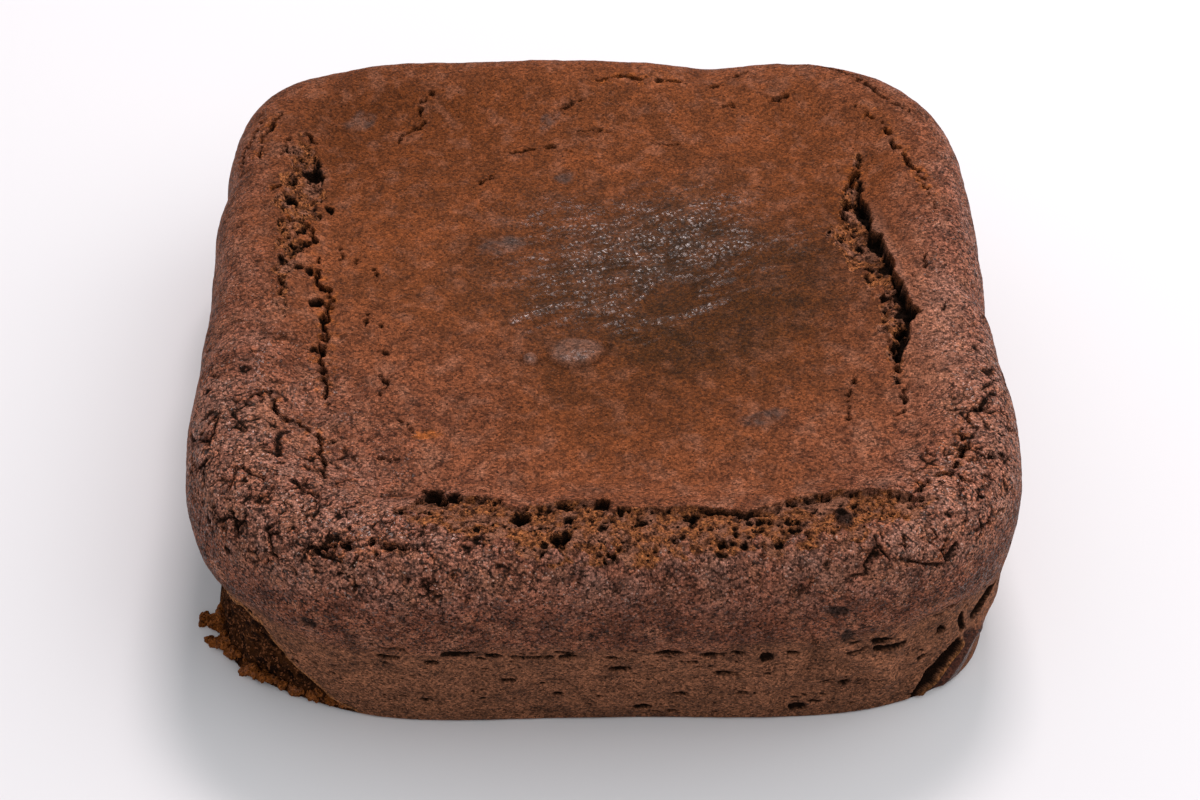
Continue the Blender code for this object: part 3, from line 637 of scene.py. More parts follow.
def openCracks(skin):
    # Round holes, then cracks half * sin(pi * way)^0.6 wide, all wandering; the widest have rusty edges.
    # Their insides are painted near black as shade.
    x, y, waver, jitter = skin.x, skin.y, skin.waver, skin.jitter
    for (atX, atY), size, depth in spots["holes"]:
        off = np.hypot(x - atX + 0.8 * waver[:, 0] + jitter[:, 0],
                       y - atY + 0.8 * waver[:, 1] + jitter[:, 1]) / size
        skin.rise -= depth * (fade(off, 0.5, 1.0) * skin.onTop)
        skin.cleft = np.maximum(skin.cleft, fade(off, 0.78, 1.08) * skin.onTop)
    sharp = np.stack([swell(skin.place, 0.55, 56), swell(skin.place, 0.55, 57)], axis=1) * 0.22
    crackX, crackY = (skin.place[:, :2] + 0.75 * waver + 1.5 * jitter + sharp).T
    skin.rusty = np.zeros(len(x))
    for path, half, depth in cracks:
        low, high = np.min(path, axis=0) - 4.0, np.max(path, axis=0) + 4.0
        near = (x > low[0]) & (x < high[0]) & (y > low[1]) & (y < high[1]) & (skin.z > cake["topFrom"])
        off, _, way = pathWay(crackX[near], crackY[near], path)
        gape = half * np.sin(np.pi * np.clip(way, 0.02, 0.98)) ** 0.6
        gape = np.clip(gape * (0.55 + 1.6 * swell(skin.place[near], 2.0, 51)), 0.05, 1.5)
        cut = fade(off, 0.3 * gape, gape + 0.14) * smoothStep(gape, 0.05, 0.2)
        skin.rise[near] += 0.08 * bell(off, gape + 0.8, 0.7) - depth * cut
        if half > 0.8:
            keepMost(skin.rusty, near, 0.8 * bell(off, gape + 0.5, 1.1) * smoothStep(gape, 0.1, 0.5))
        keepMost(skin.cleft, near, cut)


def markTop(skin):
    # Blisters are domes (1 - u2 - v2)^0.7 with a moat below them, the moat painted dark as shade and the
    # dome's grey-bluish, pale tone a painted reflection; syrup folds are beaded bells along a path;
    # the ellipse is a smooth dent; dull bluish and orange spots lie flat
    place, x, y, share, waver, onTop = skin.place, skin.x, skin.y, skin.share, skin.waver, skin.onTop
    # painted sheen: pale tops of the plates
    paintedSheen = 0.5 * skin.frosted * (1.0 - 0.7 * skin.lowSide)
    bluish, blister = np.zeros(len(x)), np.zeros(len(x))

    def waved(amount, spot):
        return spotWeight(x + amount * waver[:, 0], y + amount * waver[:, 1], spot)

    for spot in spots["bluish"]:
        bluish = np.maximum(bluish, waved(1.0, spot)[0] * onTop)
    for spot in spots["blister"]:
        weight, u, v = waved(0.4, spot)
        off = np.hypot(u, v)
        dome = np.clip(1.0 - u ** 2 - v ** 2, 0.0, 1.0) ** 0.7 * onTop
        skin.rise += 0.85 * dome - 0.35 * bell(off, 1.12, 0.14) * (v < 0.3) * onTop
        skin.cleft = np.maximum(skin.cleft, 0.4 * bell(off, 1.15, 0.16) * (v < 0.1) * onTop)
        # painted reflection: blisters take a grey-bluish and pale tone
        bluish = np.maximum(bluish, 0.55 * weight * onTop)
        paintedSheen = np.maximum(paintedSheen, 0.35 * weight * onTop)
        blister = np.maximum(blister, weight * onTop)
    ellipse = waved(0.5, spots["ellipse"])[0] * onTop
    skin.rise += ellipse * (-0.45 - skin.rise + 0.25 * swell(place, 14.0, 1))
    prune = spotWeight(x, y, spots["prune"])[0]
    skin.rise += onTop * (1.3 * prune + 0.3 * prune * swell(place, 1.6, 52))
    bluish = np.maximum(bluish, prune * onTop)
    skin.cleft = np.maximum(skin.cleft, 0.85 * prune * onTop)
    share["torn"] = share["torn"] * (1.0 - prune)
    wet = share["wet"] * (1.0 - ellipse)
    beaded = 0.45 + 0.9 * swell(place, 1.6, 55)
    for path, half, height in folds:
        off, _, way = pathWay(x + 0.6 * waver[:, 0], y + 0.6 * waver[:, 1], path)
        ridge = bell(off, 0.0, half) * np.sin(np.pi * np.clip(way, 0.0, 1.0)) ** 0.5 * onTop
        skin.rise += 1.2 * height * ridge * np.clip(beaded, 0.1, 1.2)
        wet = np.maximum(wet, np.clip(3.0 * ridge, 0.0, 1.7) * np.clip(0.5 + beaded, 0.0, 1.0))
    share["wet"] = np.maximum(wet, 0.3 * blister)
    share["smooth"] = np.maximum(ellipse, blister)
    rusty = np.maximum(skin.rusty, 0.4 * skin.gappy * smoothStep(swell(place, 3.0, 96), -0.2, 0.3))
    share["orange"] = np.maximum(rusty, waved(1.0, spots["orange"])[0] * onTop)
    # raised outer crust of the right tear, painted paler than the rest as a highlight; the right rim patch
    # is painted light too
    off, signed, way = pathWay(x, y, spots["raisedCrust"])
    lift = (bell(signed, -2.4, 3.2) * (signed < 1.5) * np.sin(np.pi * np.clip(way, 0, 1)) ** 0.7
            * onTop * (off < 12))
    skin.rise += 1.6 * lift * (1.0 - skin.crumb)
    paintedSheen = np.maximum(paintedSheen, patchesOf(x, y, zones["raisedCrust"]))
    share["paintedSheen"] = np.maximum(paintedSheen, np.clip(0.6 * lift, 0.0, 1.0)) * fade(skin.torn, -0.6, 0.2)
    share["bluish"] = bluish


def creaseSide(skin):
    # pores and holes under the lip line, painted near black as shade, dark spots, lumps stretched along the
    # side, and creases: a step tanh(off) across each line, dying away by a bell, with painted light and
    # shade lightening one side and darkening the other; around the side 1.75 mm make a degree
    place, waver, jitter, onWall = skin.place, skin.waver, skin.jitter, skin.onWall
    wallPlace = place[onWall]
    around = np.radians(skin.degrees[onWall]) * 100.0         # about millimetres along the side
    low = smoothStep(wallPlace[:, 2], 0.3, 2.5)
    body = skin.underLip[onWall]
    nearLip = bell(wallPlace[:, 2], skin.line[onWall] - 0.2, 2.4)
    sunk = np.zeros(len(wallPlace))
    for size, seed, stretch, often, oftenAtLip, deepest in wallPores:
        flat = np.stack([around / stretch, 0.0 * around, wallPlace[:, 2]], axis=1)
        flat = flat + waver[onWall, :1] * (0.25, 0.0, 0.25)
        first, second, owner = nearestSeeds(flat, size, seed)
        radius = 0.30 * (0.5 + 0.7 * ((owner * 53.0) % 1.0))
        chosen = (owner < often + oftenAtLip * nearLip) * low * (0.4 + 0.6 * body)
        skin.rise[onWall] -= deepest * chosen * fade(first, 0.45 * radius, radius)
        sunk = np.maximum(sunk, chosen * fade(first, 0.8 * radius, 1.05 * radius))
    front = (skin.degrees[onWall] > -150.0) & (skin.degrees[onWall] < -30.0)
    for (atX, atZ), (halfLong, halfHigh) in wallHoles:
        off = np.hypot((wallPlace[:, 0] - atX) / halfLong, (wallPlace[:, 2] - atZ) / halfHigh)
        off = off + 0.3 * waver[onWall, 0] + 0.35 * jitter[onWall, 1]
        skin.rise[onWall] -= 1.1 * fade(off, 0.55, 1.0) * front
        sunk = np.maximum(sunk, fade(off, 0.85, 1.05) * front)
    for (atX, atZ), (halfLong, halfHigh) in sideSpots:
        off = np.hypot((skin.x - atX) / halfLong, (skin.z - atZ) / halfHigh) + 0.35 * waver[:, 0]
        spot = fade(off, 0.5, 1.1) * (skin.y < -80.0) * (skin.z < 52.0)
        skin.share["bluish"] = np.maximum(skin.share["bluish"], spot)
        skin.cleft = np.maximum(skin.cleft, 0.72 * spot)
        skin.rise -= 0.4 * spot
    away = np.stack([around / 2.2, 0.0 * around, wallPlace[:, 2] / 1.3], axis=1)
    skin.rise[onWall] += low * body * swells(away, ((0.45, 7.0, 63), (0.14, 2.6, 64)))
    # painted shade: pores and holes go near black
    keepMost(skin.cleft, onWall, sunk)
    for path, step in creases:
        middle = path[0][0]
        flat = tuple((turned(d, middle) * 1.75, h) for d, h in path)
        off, signed, way = pathWay(turned(skin.degrees[onWall], middle) * 1.75, wallPlace[:, 2], flat)
        turn = step * body * low * np.tanh(signed / 1.1) * smoothStep(1.0 - way, 0.0, 0.1)
        skin.rise[onWall] += turn * bell(off, 0.0, 4.5)
        # painted light and shade: one side of each crease lighter, the other darker
        skin.tone[onWall] += 0.17 * turn * bell(off, 0.0, 5.5)


def bareCorner(skin):
    # front left corner: below a ragged edge the skin gives way to crumb, sunk by an S-curve of the height;
    # its pits are painted dark as shade
    z = skin.z
    edge = np.interp(skin.degrees, corner["degrees"], corner["edge"], left=-9.0, right=-9.0)
    edge = edge + 1.6 * skin.waver[:, 0] * 0.7
    inCorner = (skin.degrees > -174.0) & (skin.degrees < -121.5) & (z < 34.0)
    below = np.where(inCorner, edge - z, -9.0)
    bare = smoothStep(below, 0.0, 0.9)
    bared = bare > 0.001
    pits = porous(skin.place[bared], 71)
    rough = swells(skin.place[bared], ((0.9, 4.2, 74), (0.5, 2.0, 75)))
    crumb = rough - 0.8 * pits - corner["depth"] * smoothStep(z[bared], -6.0, 12.0)
    skin.rise[bared] = ((1.0 - bare[bared]) * skin.rise[bared]
                       + bare[bared] * smoothStep(z[bared], 0.2, 2.0) * crumb)
    skin.cleft[bared] = np.maximum(skin.cleft[bared] * (1.0 - bare[bared]),
                                  bare[bared] * smoothStep(pits, 0.3, 1.0) * 0.9)
    skin.share["bare"] = bare
    skin.share["tornEdgeAndRidgeLight"] = bell(below, -0.5, 0.9) * inCorner


def pleatCorner(skin):
    # Front right corner, in mm along it and up: between two edges a gap falls off at the left and rises by
    # across^2.5 to the right, where the crust stands up by the profile; hollows lie under the lip. The gap,
    # its channel and the hollows are painted black as shade, and a tan line on the ridge beside the gap is a
    # painted highlight
    near = (skin.degrees > -60.0) & (skin.degrees < -26.0) & (skin.z < 36.0)
    degrees, z, waver, jitter = skin.degrees[near], skin.z[near], skin.waver[near], skin.jitter[near]

    def inMm(direction):
        return (direction - pleat["middle"]) * pleat["mmPerDegree"]

    def along(path):
        return tuple((inMm(d), h) for d, h in path)

    around = inMm(degrees)
    high = z + 0.5 * waver[:, 1]
    fromLeft, fromRight = (pathWay(around + 0.3 * waver[:, 0], high, along(pleat[key]))[1]
                           for key in ("gapLeft", "gapRight"))
    inGap = (fromLeft > 0.0) & (fromRight < 0.0)
    beyond = (fromRight >= 0.0) & (fromLeft > 0.0)
    across = np.clip(fromLeft / np.maximum(fromLeft - fromRight, 0.3), 0.0, 1.0)
    upper = fade(z, 14.5, 18.5)
    sunk = (-pleat["depth"] * smoothStep(fromLeft, 0.0, 0.7) * (1.0 - across ** 2.5)
            + pleat["profile"][1][0] * across ** 3)
    raised = np.interp(fromRight, *pleat["profile"])
    fold = np.where(inGap, sunk, np.where(beyond, raised, 0.45 * bell(fromLeft, 0.0, 1.6))) * upper
    # painted shade: the gap near black except at its right edge
    black = (inGap * fade(across + 0.06 * jitter[:, 1], 0.91, 0.975)
             * smoothStep(fromLeft, -0.1, 0.15) * smoothStep(upper, 0.0, 0.4))
    # painted highlight: a tan line along the ridge right of the gap
    ragged = (bell(fromRight, 0.1, 0.8) * beyond + inGap * smoothStep(across, 0.93, 1.0)) * upper
    glossy = beyond * smoothStep(fromRight, 0.8, 1.6) * fade(fromRight, 8.0, 11.0) * upper
    channel = bell(fromRight, 2.3, 1.0) * beyond * upper
    for path, half, depth in pleat["hollows"]:
        off = pathWay(around, high, along(path))[0] + 0.25 * waver[:, 0] + 0.3 * jitter[:, 1]
        fold = fold - depth * fade(off, 0.45 * half, half + 0.3)
        black = np.maximum(black, fade(off + 0.3 * jitter[:, 0], half, half + 0.4))
    (knobAt, knobHigh), (knobWide, knobTall), knobOut = pleat["knob"]
    fold = fold + knobOut * bell(around, inMm(knobAt), knobWide) * bell(high, knobHigh, knobTall)
    fold = fold + 1.7 * bell(degrees, -32.5, 4.5) * bell(z, 17.0, 8.0)
    skin.rise[near] += fold * smoothStep(z, -0.2, 1.6)
    skin.cleft[near] = np.maximum(skin.cleft[near] * (1.0 - inGap), np.maximum(black, 0.85 * channel))
    share = skin.share
    keepMost(share["tornEdgeAndRidgeLight"], near, ragged * (1.0 - black))
    share["film"] = np.zeros(len(skin.z))
    share["film"][near] = glossy * (1.0 - black)
    (patchAt, patchHigh), patchSize = pleat["rust"]
    rusty = fade(np.hypot(around - patchAt, high - patchHigh) / patchSize, 0.5, 1.1)
    keepMost(share["orange"], near, rusty)


def reliefOf(sheet):
    # How far each point moves out along its outward direction (rise), and the shares that the material
    # reads: rim, dust, wall, far, broad, dusted, bloomed, sticky, wet, torn, scarp, smooth, orange,
    # paintedSheen, bluish, bare, tornEdgeAndRidgeLight, film, tone, cleft. Waver and jitter, in mm, bend
    # every edge and crack.
    # The near black of cracks, holes and pores and the dark of steep tear sides are painted shade, the pale
    # share is a painted sheen and highlight, bluish is partly a painted reflection on blisters, and tone is
    # partly painted light and shade.
    place = sheet.place
    skin = SimpleNamespace(**vars(sheet), share={})
    skin.x, skin.y, skin.z = place.T
    skin.onTop = (skin.tilt < 1.35) & (skin.z > cake["topFrom"])
    skin.onWall = skin.z < cake["lipHeight"] + 3.0
    skin.waver = np.stack([swells(place, layers) for layers in zones["waver"]], axis=1)
    skin.jitter = np.stack([swell(place, 1.1, seed) for seed in (53, 54)], axis=1) * 0.55
    for step in (layZones, swellMiddle, crackPlates, tearHollows, openCracks, markTop, creaseSide,
                 bareCorner, pleatCorner):
        step(skin)
    # nothing moves at the flat base
    skin.rise *= np.where(skin.z < 1.4, smoothStep(skin.z, 0.0, 1.4), 1.0)
    skin.share["tone"] = skin.tone
    skin.share["cleft"] = np.clip(skin.cleft, 0.0, 1.0)
    return skin.rise, skin.share


def vertexNormals(points, faces):
    # each point's normal is the sum of (diagonal x diagonal) of the quads around it, made one long
    a, b, c, d = (points[faces[:, k]] for k in range(4))
    flat = np.cross(c - a, d - b)
    total = np.zeros_like(points)
    for axis in range(3):
        weights = np.repeat(flat[:, axis], 4)
        total[:, axis] = np.bincount(faces.ravel(), weights=weights, minlength=len(points))
    return total / np.maximum(np.linalg.norm(total, axis=1, keepdims=True), 1e-12)


def addPiece(name, points, faces, normals, shares, material):
    # points in mm; faces as an array of quads or triangles
    mesh = bpy.data.meshes.new(name)
    corners = faces.shape[1]
    mesh.vertices.add(len(points))
    mesh.vertices.foreach_set("co", (points * mm).astype(np.float32).ravel())
    mesh.loops.add(faces.size)
    mesh.loops.foreach_set("vertex_index", faces.astype(np.int32).ravel())
    mesh.polygons.add(len(faces))
    mesh.polygons.foreach_set("loop_start", np.arange(len(faces), dtype=np.int32) * corners)
    mesh.polygons.foreach_set("loop_total", np.full(len(faces), corners, np.int32))
    for key, values in shares.items():
        attribute = mesh.attributes.new(key, "FLOAT", "POINT")
        attribute.data.foreach_set("value", values.astype(np.float32))
    mesh.update(calc_edges=True)
    mesh.validate()
    mesh.shade_smooth()
    if normals is not None:
        mesh.normals_split_custom_set_from_vertices(normals.astype(np.float32).tolist())
    piece = bpy.data.objects.new(name, mesh)
    bpy.context.scene.collection.objects.link(piece)
    mesh.materials.append(material)
    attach(piece, "root")
    return piece


def cutOut(name, points, normals, shares, faces, material):
    # takes one set of faces with only its own points
    used, packed = np.unique(faces.ravel(), return_inverse=True)
    return addPiece(name, points[used], packed.reshape(faces.shape), normals[used],
                    {key: values[used] for key, values in shares.items()}, material)


def linear(code):
    # sRGB hex to linear: ((c + 0.055) / 1.055) ^ 2.4 above the toe, c / 12.92 in it
    parts = [int(code[k:k + 2], 16) / 255.0 for k in (1, 3, 5)]
    return tuple(((c + 0.055) / 1.055) ** 2.4 if c > 0.04045 else c / 12.92 for c in parts) + (1.0,)


def addNode(tree, kind, inputs=None, **settings):
    # one node: its settings, then each input by name or number as a value or a link
    node = tree.nodes.new(kind)
    for key, value in settings.items():
        setattr(node, key, value)
    for key, value in (inputs or {}).items():
        if isinstance(value, bpy.types.NodeSocket):
            tree.links.new(value, node.inputs[key])
        else:
            node.inputs[key].default_value = value
    return node


crustLook = {
    "plateau": "#764022", "plateauDark": "#5d331b", "shaded": "#5a2e13", "bloomed": "#8c5c46",
    "rim": "#845240", "rimDark": "#5f382b", "paintedSparkle": "#c8a99a", "dust": "#7e4b35", "bloom": "#8e685b",
    "middle": "#46260d", "middleDark": "#321d0a", "side": "#683b29", "sideDark": "#49291d",
    "wall": "#7b4f38", "wallDark": "#5c3b2a", "film": "#3c160c",
    "crumb": "#8c5536", "crumbLight": "#a9683c", "crumbShade": "#5a3420", "crumbDarkAndGapShade": "#1f0f09",
    # near black of cracks, holes, pores and hollows: painted shade; a few dark spots of the skin take it too
    "crumbRust": "#77421a", "flake": "#906350", "cleft": "#0d0603", "bluish": "#4a403c",
    "paintedSheen": "#8a6657", "orange": "#9a5424", "bare": "#43240f", "bareDark": "#1c0d06", "tornEdgeAndRidgeLight": "#96602f",
    "roughness": 0.66, "stickyRoughness": 0.5, "filmRoughness": 0.3, "crumbRoughness": 0.95,
    "specular": 0.06, "syrupRoughness": 0.17,
    # real sizes in mm: flour grains of the skin, pebbling of the rim, syrup beads and crumb bubbles,
    # net of hairline cracks, pores of the side, pinholes
    "grain": 0.5, "pebble": 1.0, "bubble": 1.3, "hair": 3.3, "pore": 1.5, "pin": 1.9,
}


def bakedCrust():
    # Gingerbread crust, baked dry: matte and fine-grained, a dull sugar film at the rim whose tiny sparkles
    # are partly glossy coat and partly painted pale glints, sticky in the middle where syrup rose, and open
    # rust-brown crumb where it tore. Grain tops carry a painted highlight, and cracks, holes and gaps
    # painted shade.
    material = bpy.data.materials.new("bakedGingerbreadCrust")
    material.use_nodes = True
    tree = material.node_tree
    tree.nodes.clear()
    look = crustLook

    def add(kind, inputs=None, **settings):
        return addNode(tree, "ShaderNode" + kind, inputs, **settings)

    def part(name):
        return add("Attribute", attribute_name=name).outputs["Fac"]

    def maths(operation, *values):                        # one maths node after another over the values
        total = values[0]
        for value in values[1:]:
            total = add("Math", {0: total, 1: value}, operation=operation).outputs[0]
        return total

    def times(*values):
        return maths("MULTIPLY", *values)

    def plus(*values):
        return maths("ADD", *values)

    def most(*values):
        return maths("MAXIMUM", *values)

    def less(value, amount=1.0):                          # 1 less amount times the value
        return maths("SUBTRACT", 1.0, times(value, amount) if amount != 1.0 else value)

    def spread(value, low, high, toLow=0.0, toHigh=1.0):
        return add("MapRange", {0: value, 1: low, 2: high, 3: toLow, 4: toHigh},
                   interpolation_type="SMOOTHSTEP").outputs[0]

    def mixed(factor, first, second):
        return add("Mix", {0: factor, 2: first, 3: second}).outputs[0]

    def blend(factor, first, second, kind="MIX"):         # colours: a name in the look, or a link
        first, second = (linear(look[c]) if isinstance(c, str) else c for c in (first, second))
        return add("Mix", {0: factor, 6: first, 7: second}, data_type="RGBA", blend_type=kind).outputs[2]

    inMm = add("Mapping", {0: add("TexCoord").outputs["Object"], 3: (1000.0, 1000.0, 1000.0)}).outputs[0]

    def cloud(size, detail, rough, shift):                # noise whose lumps are about size mm across
        moved = add("Mapping", {0: inMm, 1: (shift, -shift, 2.0 * shift)}).outputs[0]
        return add("TexNoise", {"Vector": moved, "Scale": 1.0 / size, "Detail": detail,
                                "Roughness": rough}).outputs[0]

    def cells(name, at=inMm, **settings):                 # one random point for each size mm
        return add("TexVoronoi", {"Vector": at, "Scale": 1.0 / look[name]}, **settings).outputs

    def channels(cell):                                   # three random numbers of a cell
        return add("SeparateColor", {0: cell["Color"]}).outputs

    def over(colour, *layers):                            # one tone after another laid over the colour
        for factor, name in layers:
            colour = blend(factor, colour, name)
        return colour

    def shade(colour, value, amount):                     # times 1 + amount * (value - 0.5)
        grey = plus(1.0, times(maths("SUBTRACT", value, 0.5), amount))
        return blend(1.0, colour, add("CombineColor", {k: grey for k in range(3)}).outputs[0], "MULTIPLY")

    rim, sticky, wall, torn, dust = (part(name) for name in ("rim", "sticky", "wall", "torn", "dust"))
    cleft, paintedSheen, bare, film, wet = (part(name) for name in ("cleft", "paintedSheen", "bare", "film", "wet"))
    side = spread(add("SeparateXYZ", {0: inMm}).outputs[2], 55.0, 42.0)

    # noises from coarse to fine
    mottle = cloud(5.0, 4.0, 0.6, 17.0)
    patch = cloud(2.6, 3.0, 0.6, 23.0)
    speck = cloud(0.8, 2.0, 0.6, 29.0)
    bent = add("VectorMath", {0: patch, 1: (2.2, -1.8, 1.5), 2: inMm}, operation="MULTIPLY_ADD").outputs[0]
    grain = cells("grain")
    grit, gritTone = grain["Distance"], channels(grain)
    pebble, bubble = (cells(name)["Distance"] for name in ("pebble", "bubble"))

    # skin
    warm = plus(times(part("broad"), 0.4), times(mottle, 0.6))
    colour = blend(spread(warm, 0.3, 0.66), "plateauDark", "plateau")
    colour = blend(times(part("far"), 0.8), colour, "shaded")
    colour = blend(times(sticky, 0.95), colour, blend(spread(warm, 0.36, 0.62), "middleDark", "middle"))
    rimTone = blend(spread(plus(times(mottle, 0.5), times(patch, 0.5)), 0.34, 0.58), "rimDark", "rim")
    rimTone = blend(times(part("dusted"), 0.4), rimTone, "bloom")
    colour = blend(times(dust, 0.75), colour, blend(spread(mottle, 0.35, 0.62), "rimDark", "dust"))
    uneven = plus(rim, times(maths("SUBTRACT", mottle, 0.5), 0.9))
    colour = blend(spread(uneven, 0.05, 0.95), colour, rimTone)
    colour = blend(times(side, 0.85), colour, blend(spread(mottle, 0.36, 0.62), "sideDark", "side"))
    wallTone = spread(plus(times(mottle, 0.7), times(speck, 0.3)), 0.3, 0.62)
    colour = blend(wall, colour, blend(wallTone, "wallDark", "wall"))
    fewer = plus(times(wall, 0.2), times(sticky, 0.22))
    bloomed = maths("SUBTRACT", plus(0.34, times(dust, 0.3)), fewer)
    # the pale layer is painted sheen and highlight, the bluish layer partly a painted reflection on
    # blisters, the torn edge layer partly a painted highlight on the pleat ridge
    colour = over(colour, (times(film, 0.85), "film"), (times(paintedSheen, 0.7), "paintedSheen"),
                  (times(part("orange"), 0.7, spread(patch, 0.35, 0.6)), "orange"),
                  (times(part("bluish"), spread(patch, 0.3, 0.6, 0.15, 0.6)), "bluish"),
                  (times(part("tornEdgeAndRidgeLight"), 0.6), "tornEdgeAndRidgeLight"), (times(part("bloomed"), bloomed), "bloomed"))
    colour = shade(colour, gritTone[0], plus(1.0, times(rim, 0.5), times(wall, 0.35), times(dust, 0.3)))
    colour = shade(colour, speck, plus(0.9, times(sticky, 1.2), times(wall, 0.35)))
    colour = shade(colour, mottle, 0.5)
    # painted highlight and shade: each grain lighter in its middle, darker at its edge
    paintedGrainLight = times(maths("SUBTRACT", 0.5, grit), plus(0.35, times(rim, 0.5)))
    colour = shade(colour, plus(0.5, paintedGrainLight), 1.0)
    # painted glints: pale flecks on the rim stand in for sparkles
    paintedGlints = times(spread(gritTone[1], 0.84, 0.92), spread(patch, 0.42, 0.6), spread(grit, 0.55, 0.3))
    pebbled = times(rim, less(side, 0.75))
    colour = blend(times(paintedGlints, plus(0.04, times(pebbled, 0.62)), less(side, 0.6)), colour, "paintedSparkle")
    # painted shade: the gaps between pebbles go near black
    pebbleGapShade = times(spread(pebble, 0.52, 0.78), plus(0.12, times(pebbled, 0.7)), spread(speck, 0.62, 0.4))
    colour = blend(pebbleGapShade, colour, "crumbDarkAndGapShade")
    hair = times(spread(cells("hair", bent, feature="DISTANCE_TO_EDGE")["Distance"], 0.1, 0.04),
                 spread(cloud(1.9, 1.0, 0.5, 53.0), 0.52, 0.58),
                 plus(0.12, most(times(dust, 0.55), times(pebbled, 0.88))))
    flatMm = add("Mapping", {0: inMm, 3: (0.42, 0.42, 1.0)}).outputs[0]
    pore, pin = cells("pore", flatMm), cells("pin")
    pore = times(spread(pore["Distance"], 0.24, 0.12), spread(channels(pore)[0], 0.8, 0.86),
                 most(side, wall))
    pin = times(spread(pin["Distance"], 0.19, 0.1), spread(channels(pin)[1], 0.45, 0.55), less(sticky, 0.7))
    # painted shade: hairline cracks, pores and pinholes go near black
    colour = blend(most(times(pin, 0.7), times(hair, 0.8), times(pore, 0.8)), colour, "cleft")

    # torn crumb
    crumb = blend(spread(plus(times(speck, 0.6), times(gritTone[2], 0.4)), 0.36, 0.6), "crumbShade", "crumb")
    airy = spread(cloud(4.0, 2.0, 0.6, 71.0), 0.42, 0.58)
    # bubbles in the crumb are painted near black as shade
    crumb = over(crumb, (times(spread(mottle, 0.46, 0.6), 0.6), "flake"),
                 (times(spread(gritTone[1], 0.45, 0.8), spread(mottle, 0.56, 0.42), 0.8), "crumbLight"),
                 (times(spread(patch, 0.46, 0.36), 0.8), "crumbDarkAndGapShade"),
                 (times(spread(bubble, 0.4, 0.2), airy, spread(speck, 0.35, 0.5)), "cleft"),
                 (times(part("loose"), spread(speck, 0.3, 0.6, 0.35, 0.95)), "crumbRust"))
    colour = blend(torn, colour, shade(crumb, gritTone[0], 1.1))
    bareTone = blend(spread(patch, 0.36, 0.62), "bareDark", "bare")
    bareTone = blend(times(spread(gritTone[2], 0.8, 0.95), 0.7), bareTone, "crumb")
    # tone multiplies the colour: painted light and shade by region and across creases, and browning on the
    # base
    colour = shade(blend(bare, colour, bareTone), plus(part("tone"), -0.5), 1.0)
    # painted shade: steep tear sides, cracks, holes and pores go near black
    colour = over(colour, (times(part("scarp"), 0.85), "cleft"), (times(cleft, 0.97), "cleft"))

    # gloss
    rough = mixed(film, mixed(sticky, look["roughness"], look["stickyRoughness"]), look["filmRoughness"])
    rough = plus(rough, spread(speck, 0.3, 0.7, -0.1, 0.12))
    matte = most(torn, bare, cleft)
    rough = mixed(matte, rough, look["crumbRoughness"])
    beaded = times(wet, spread(bubble, 0.62, 0.3, 0.2, 0.55))
    glaze = times(rim, spread(gritTone[1], 0.75, 0.9), 0.35)
    syrup = times(most(beaded, glaze, times(film, 0.2)), less(matte))

    # relief finer than the mesh, in millimetres
    smooth = part("smooth")
    fine = plus(times(speck, plus(0.16, times(rim, 0.1))),
                times(less(grit), plus(0.2, times(pebbled, 0.14))))
    fine = maths("SUBTRACT", fine, times(pebble, pebble, plus(0.05, times(pebbled, 0.26))))
    fine = times(fine, less(wet, 0.6))
    holes = times(most(torn, bare), plus(times(spread(pebble, 0.45, 0.1), 0.4), times(speck, -0.5)))
    fine = times(maths("SUBTRACT", fine, holes), less(smooth, 0.65))
    beads = plus(times(speck, 0.1), times(bubble, bubble, -0.32, wet, less(smooth, 0.8)))

    def bump(height):
        return add("Bump", {"Strength": 1.0, "Distance": mm, "Height": height}).outputs[0]

    shader = add("BsdfPrincipled", {
        "Base Color": colour, "Roughness": rough, "IOR": 1.45, "Specular IOR Level": look["specular"],
        "Normal": bump(fine), "Coat Weight": syrup, "Coat Roughness": look["syrupRoughness"],
        "Coat IOR": 1.48, "Coat Normal": bump(beads)})
    add("OutputMaterial", {"Surface": shader.outputs[0]})
    return material


def baseFace():
    # rings from the foot in to the middle: the foot's outline times a share, flat at the bottom
    ring = points[sheet.lastRow]
    steps = np.linspace(1.0, 0.05, 30)
    rings = np.concatenate([ring * (step, step, 0.0) for step in steps] + [np.zeros((1, 3))])
    count = len(ring)
    grid = np.arange(len(steps) * count).reshape(len(steps), count)
    following = np.roll(grid, -1, axis=1)
    a, b, c, d = (side.ravel() for side in (grid[:-1], grid[1:], following[1:], following[:-1]))
    middle = np.full(count, len(rings) - 1)
    return rings, np.concatenate([np.stack(three, axis=1) for three in (
        (a, b, c), (a, c, d), (grid[-1], middle, following[-1]))])


footCrumbs = {
    "seed": 12, "count": 130, "radius": (0.5, 1.7), "roughness": 0.5,
    # heaps: direction and how far out from the foot each starts and ends, share of the crumbs
    "heaps": (((-147.3, -1.5), (-149.0, 5.2), 0.34), ((-143.8, -1.0), (-145.4, 4.0), 0.24),
              ((-149.5, -0.8), (-141.0, 0.2), 0.17), ((-141.0, 0.0), (-124.0, -1.2), 0.25)),
}


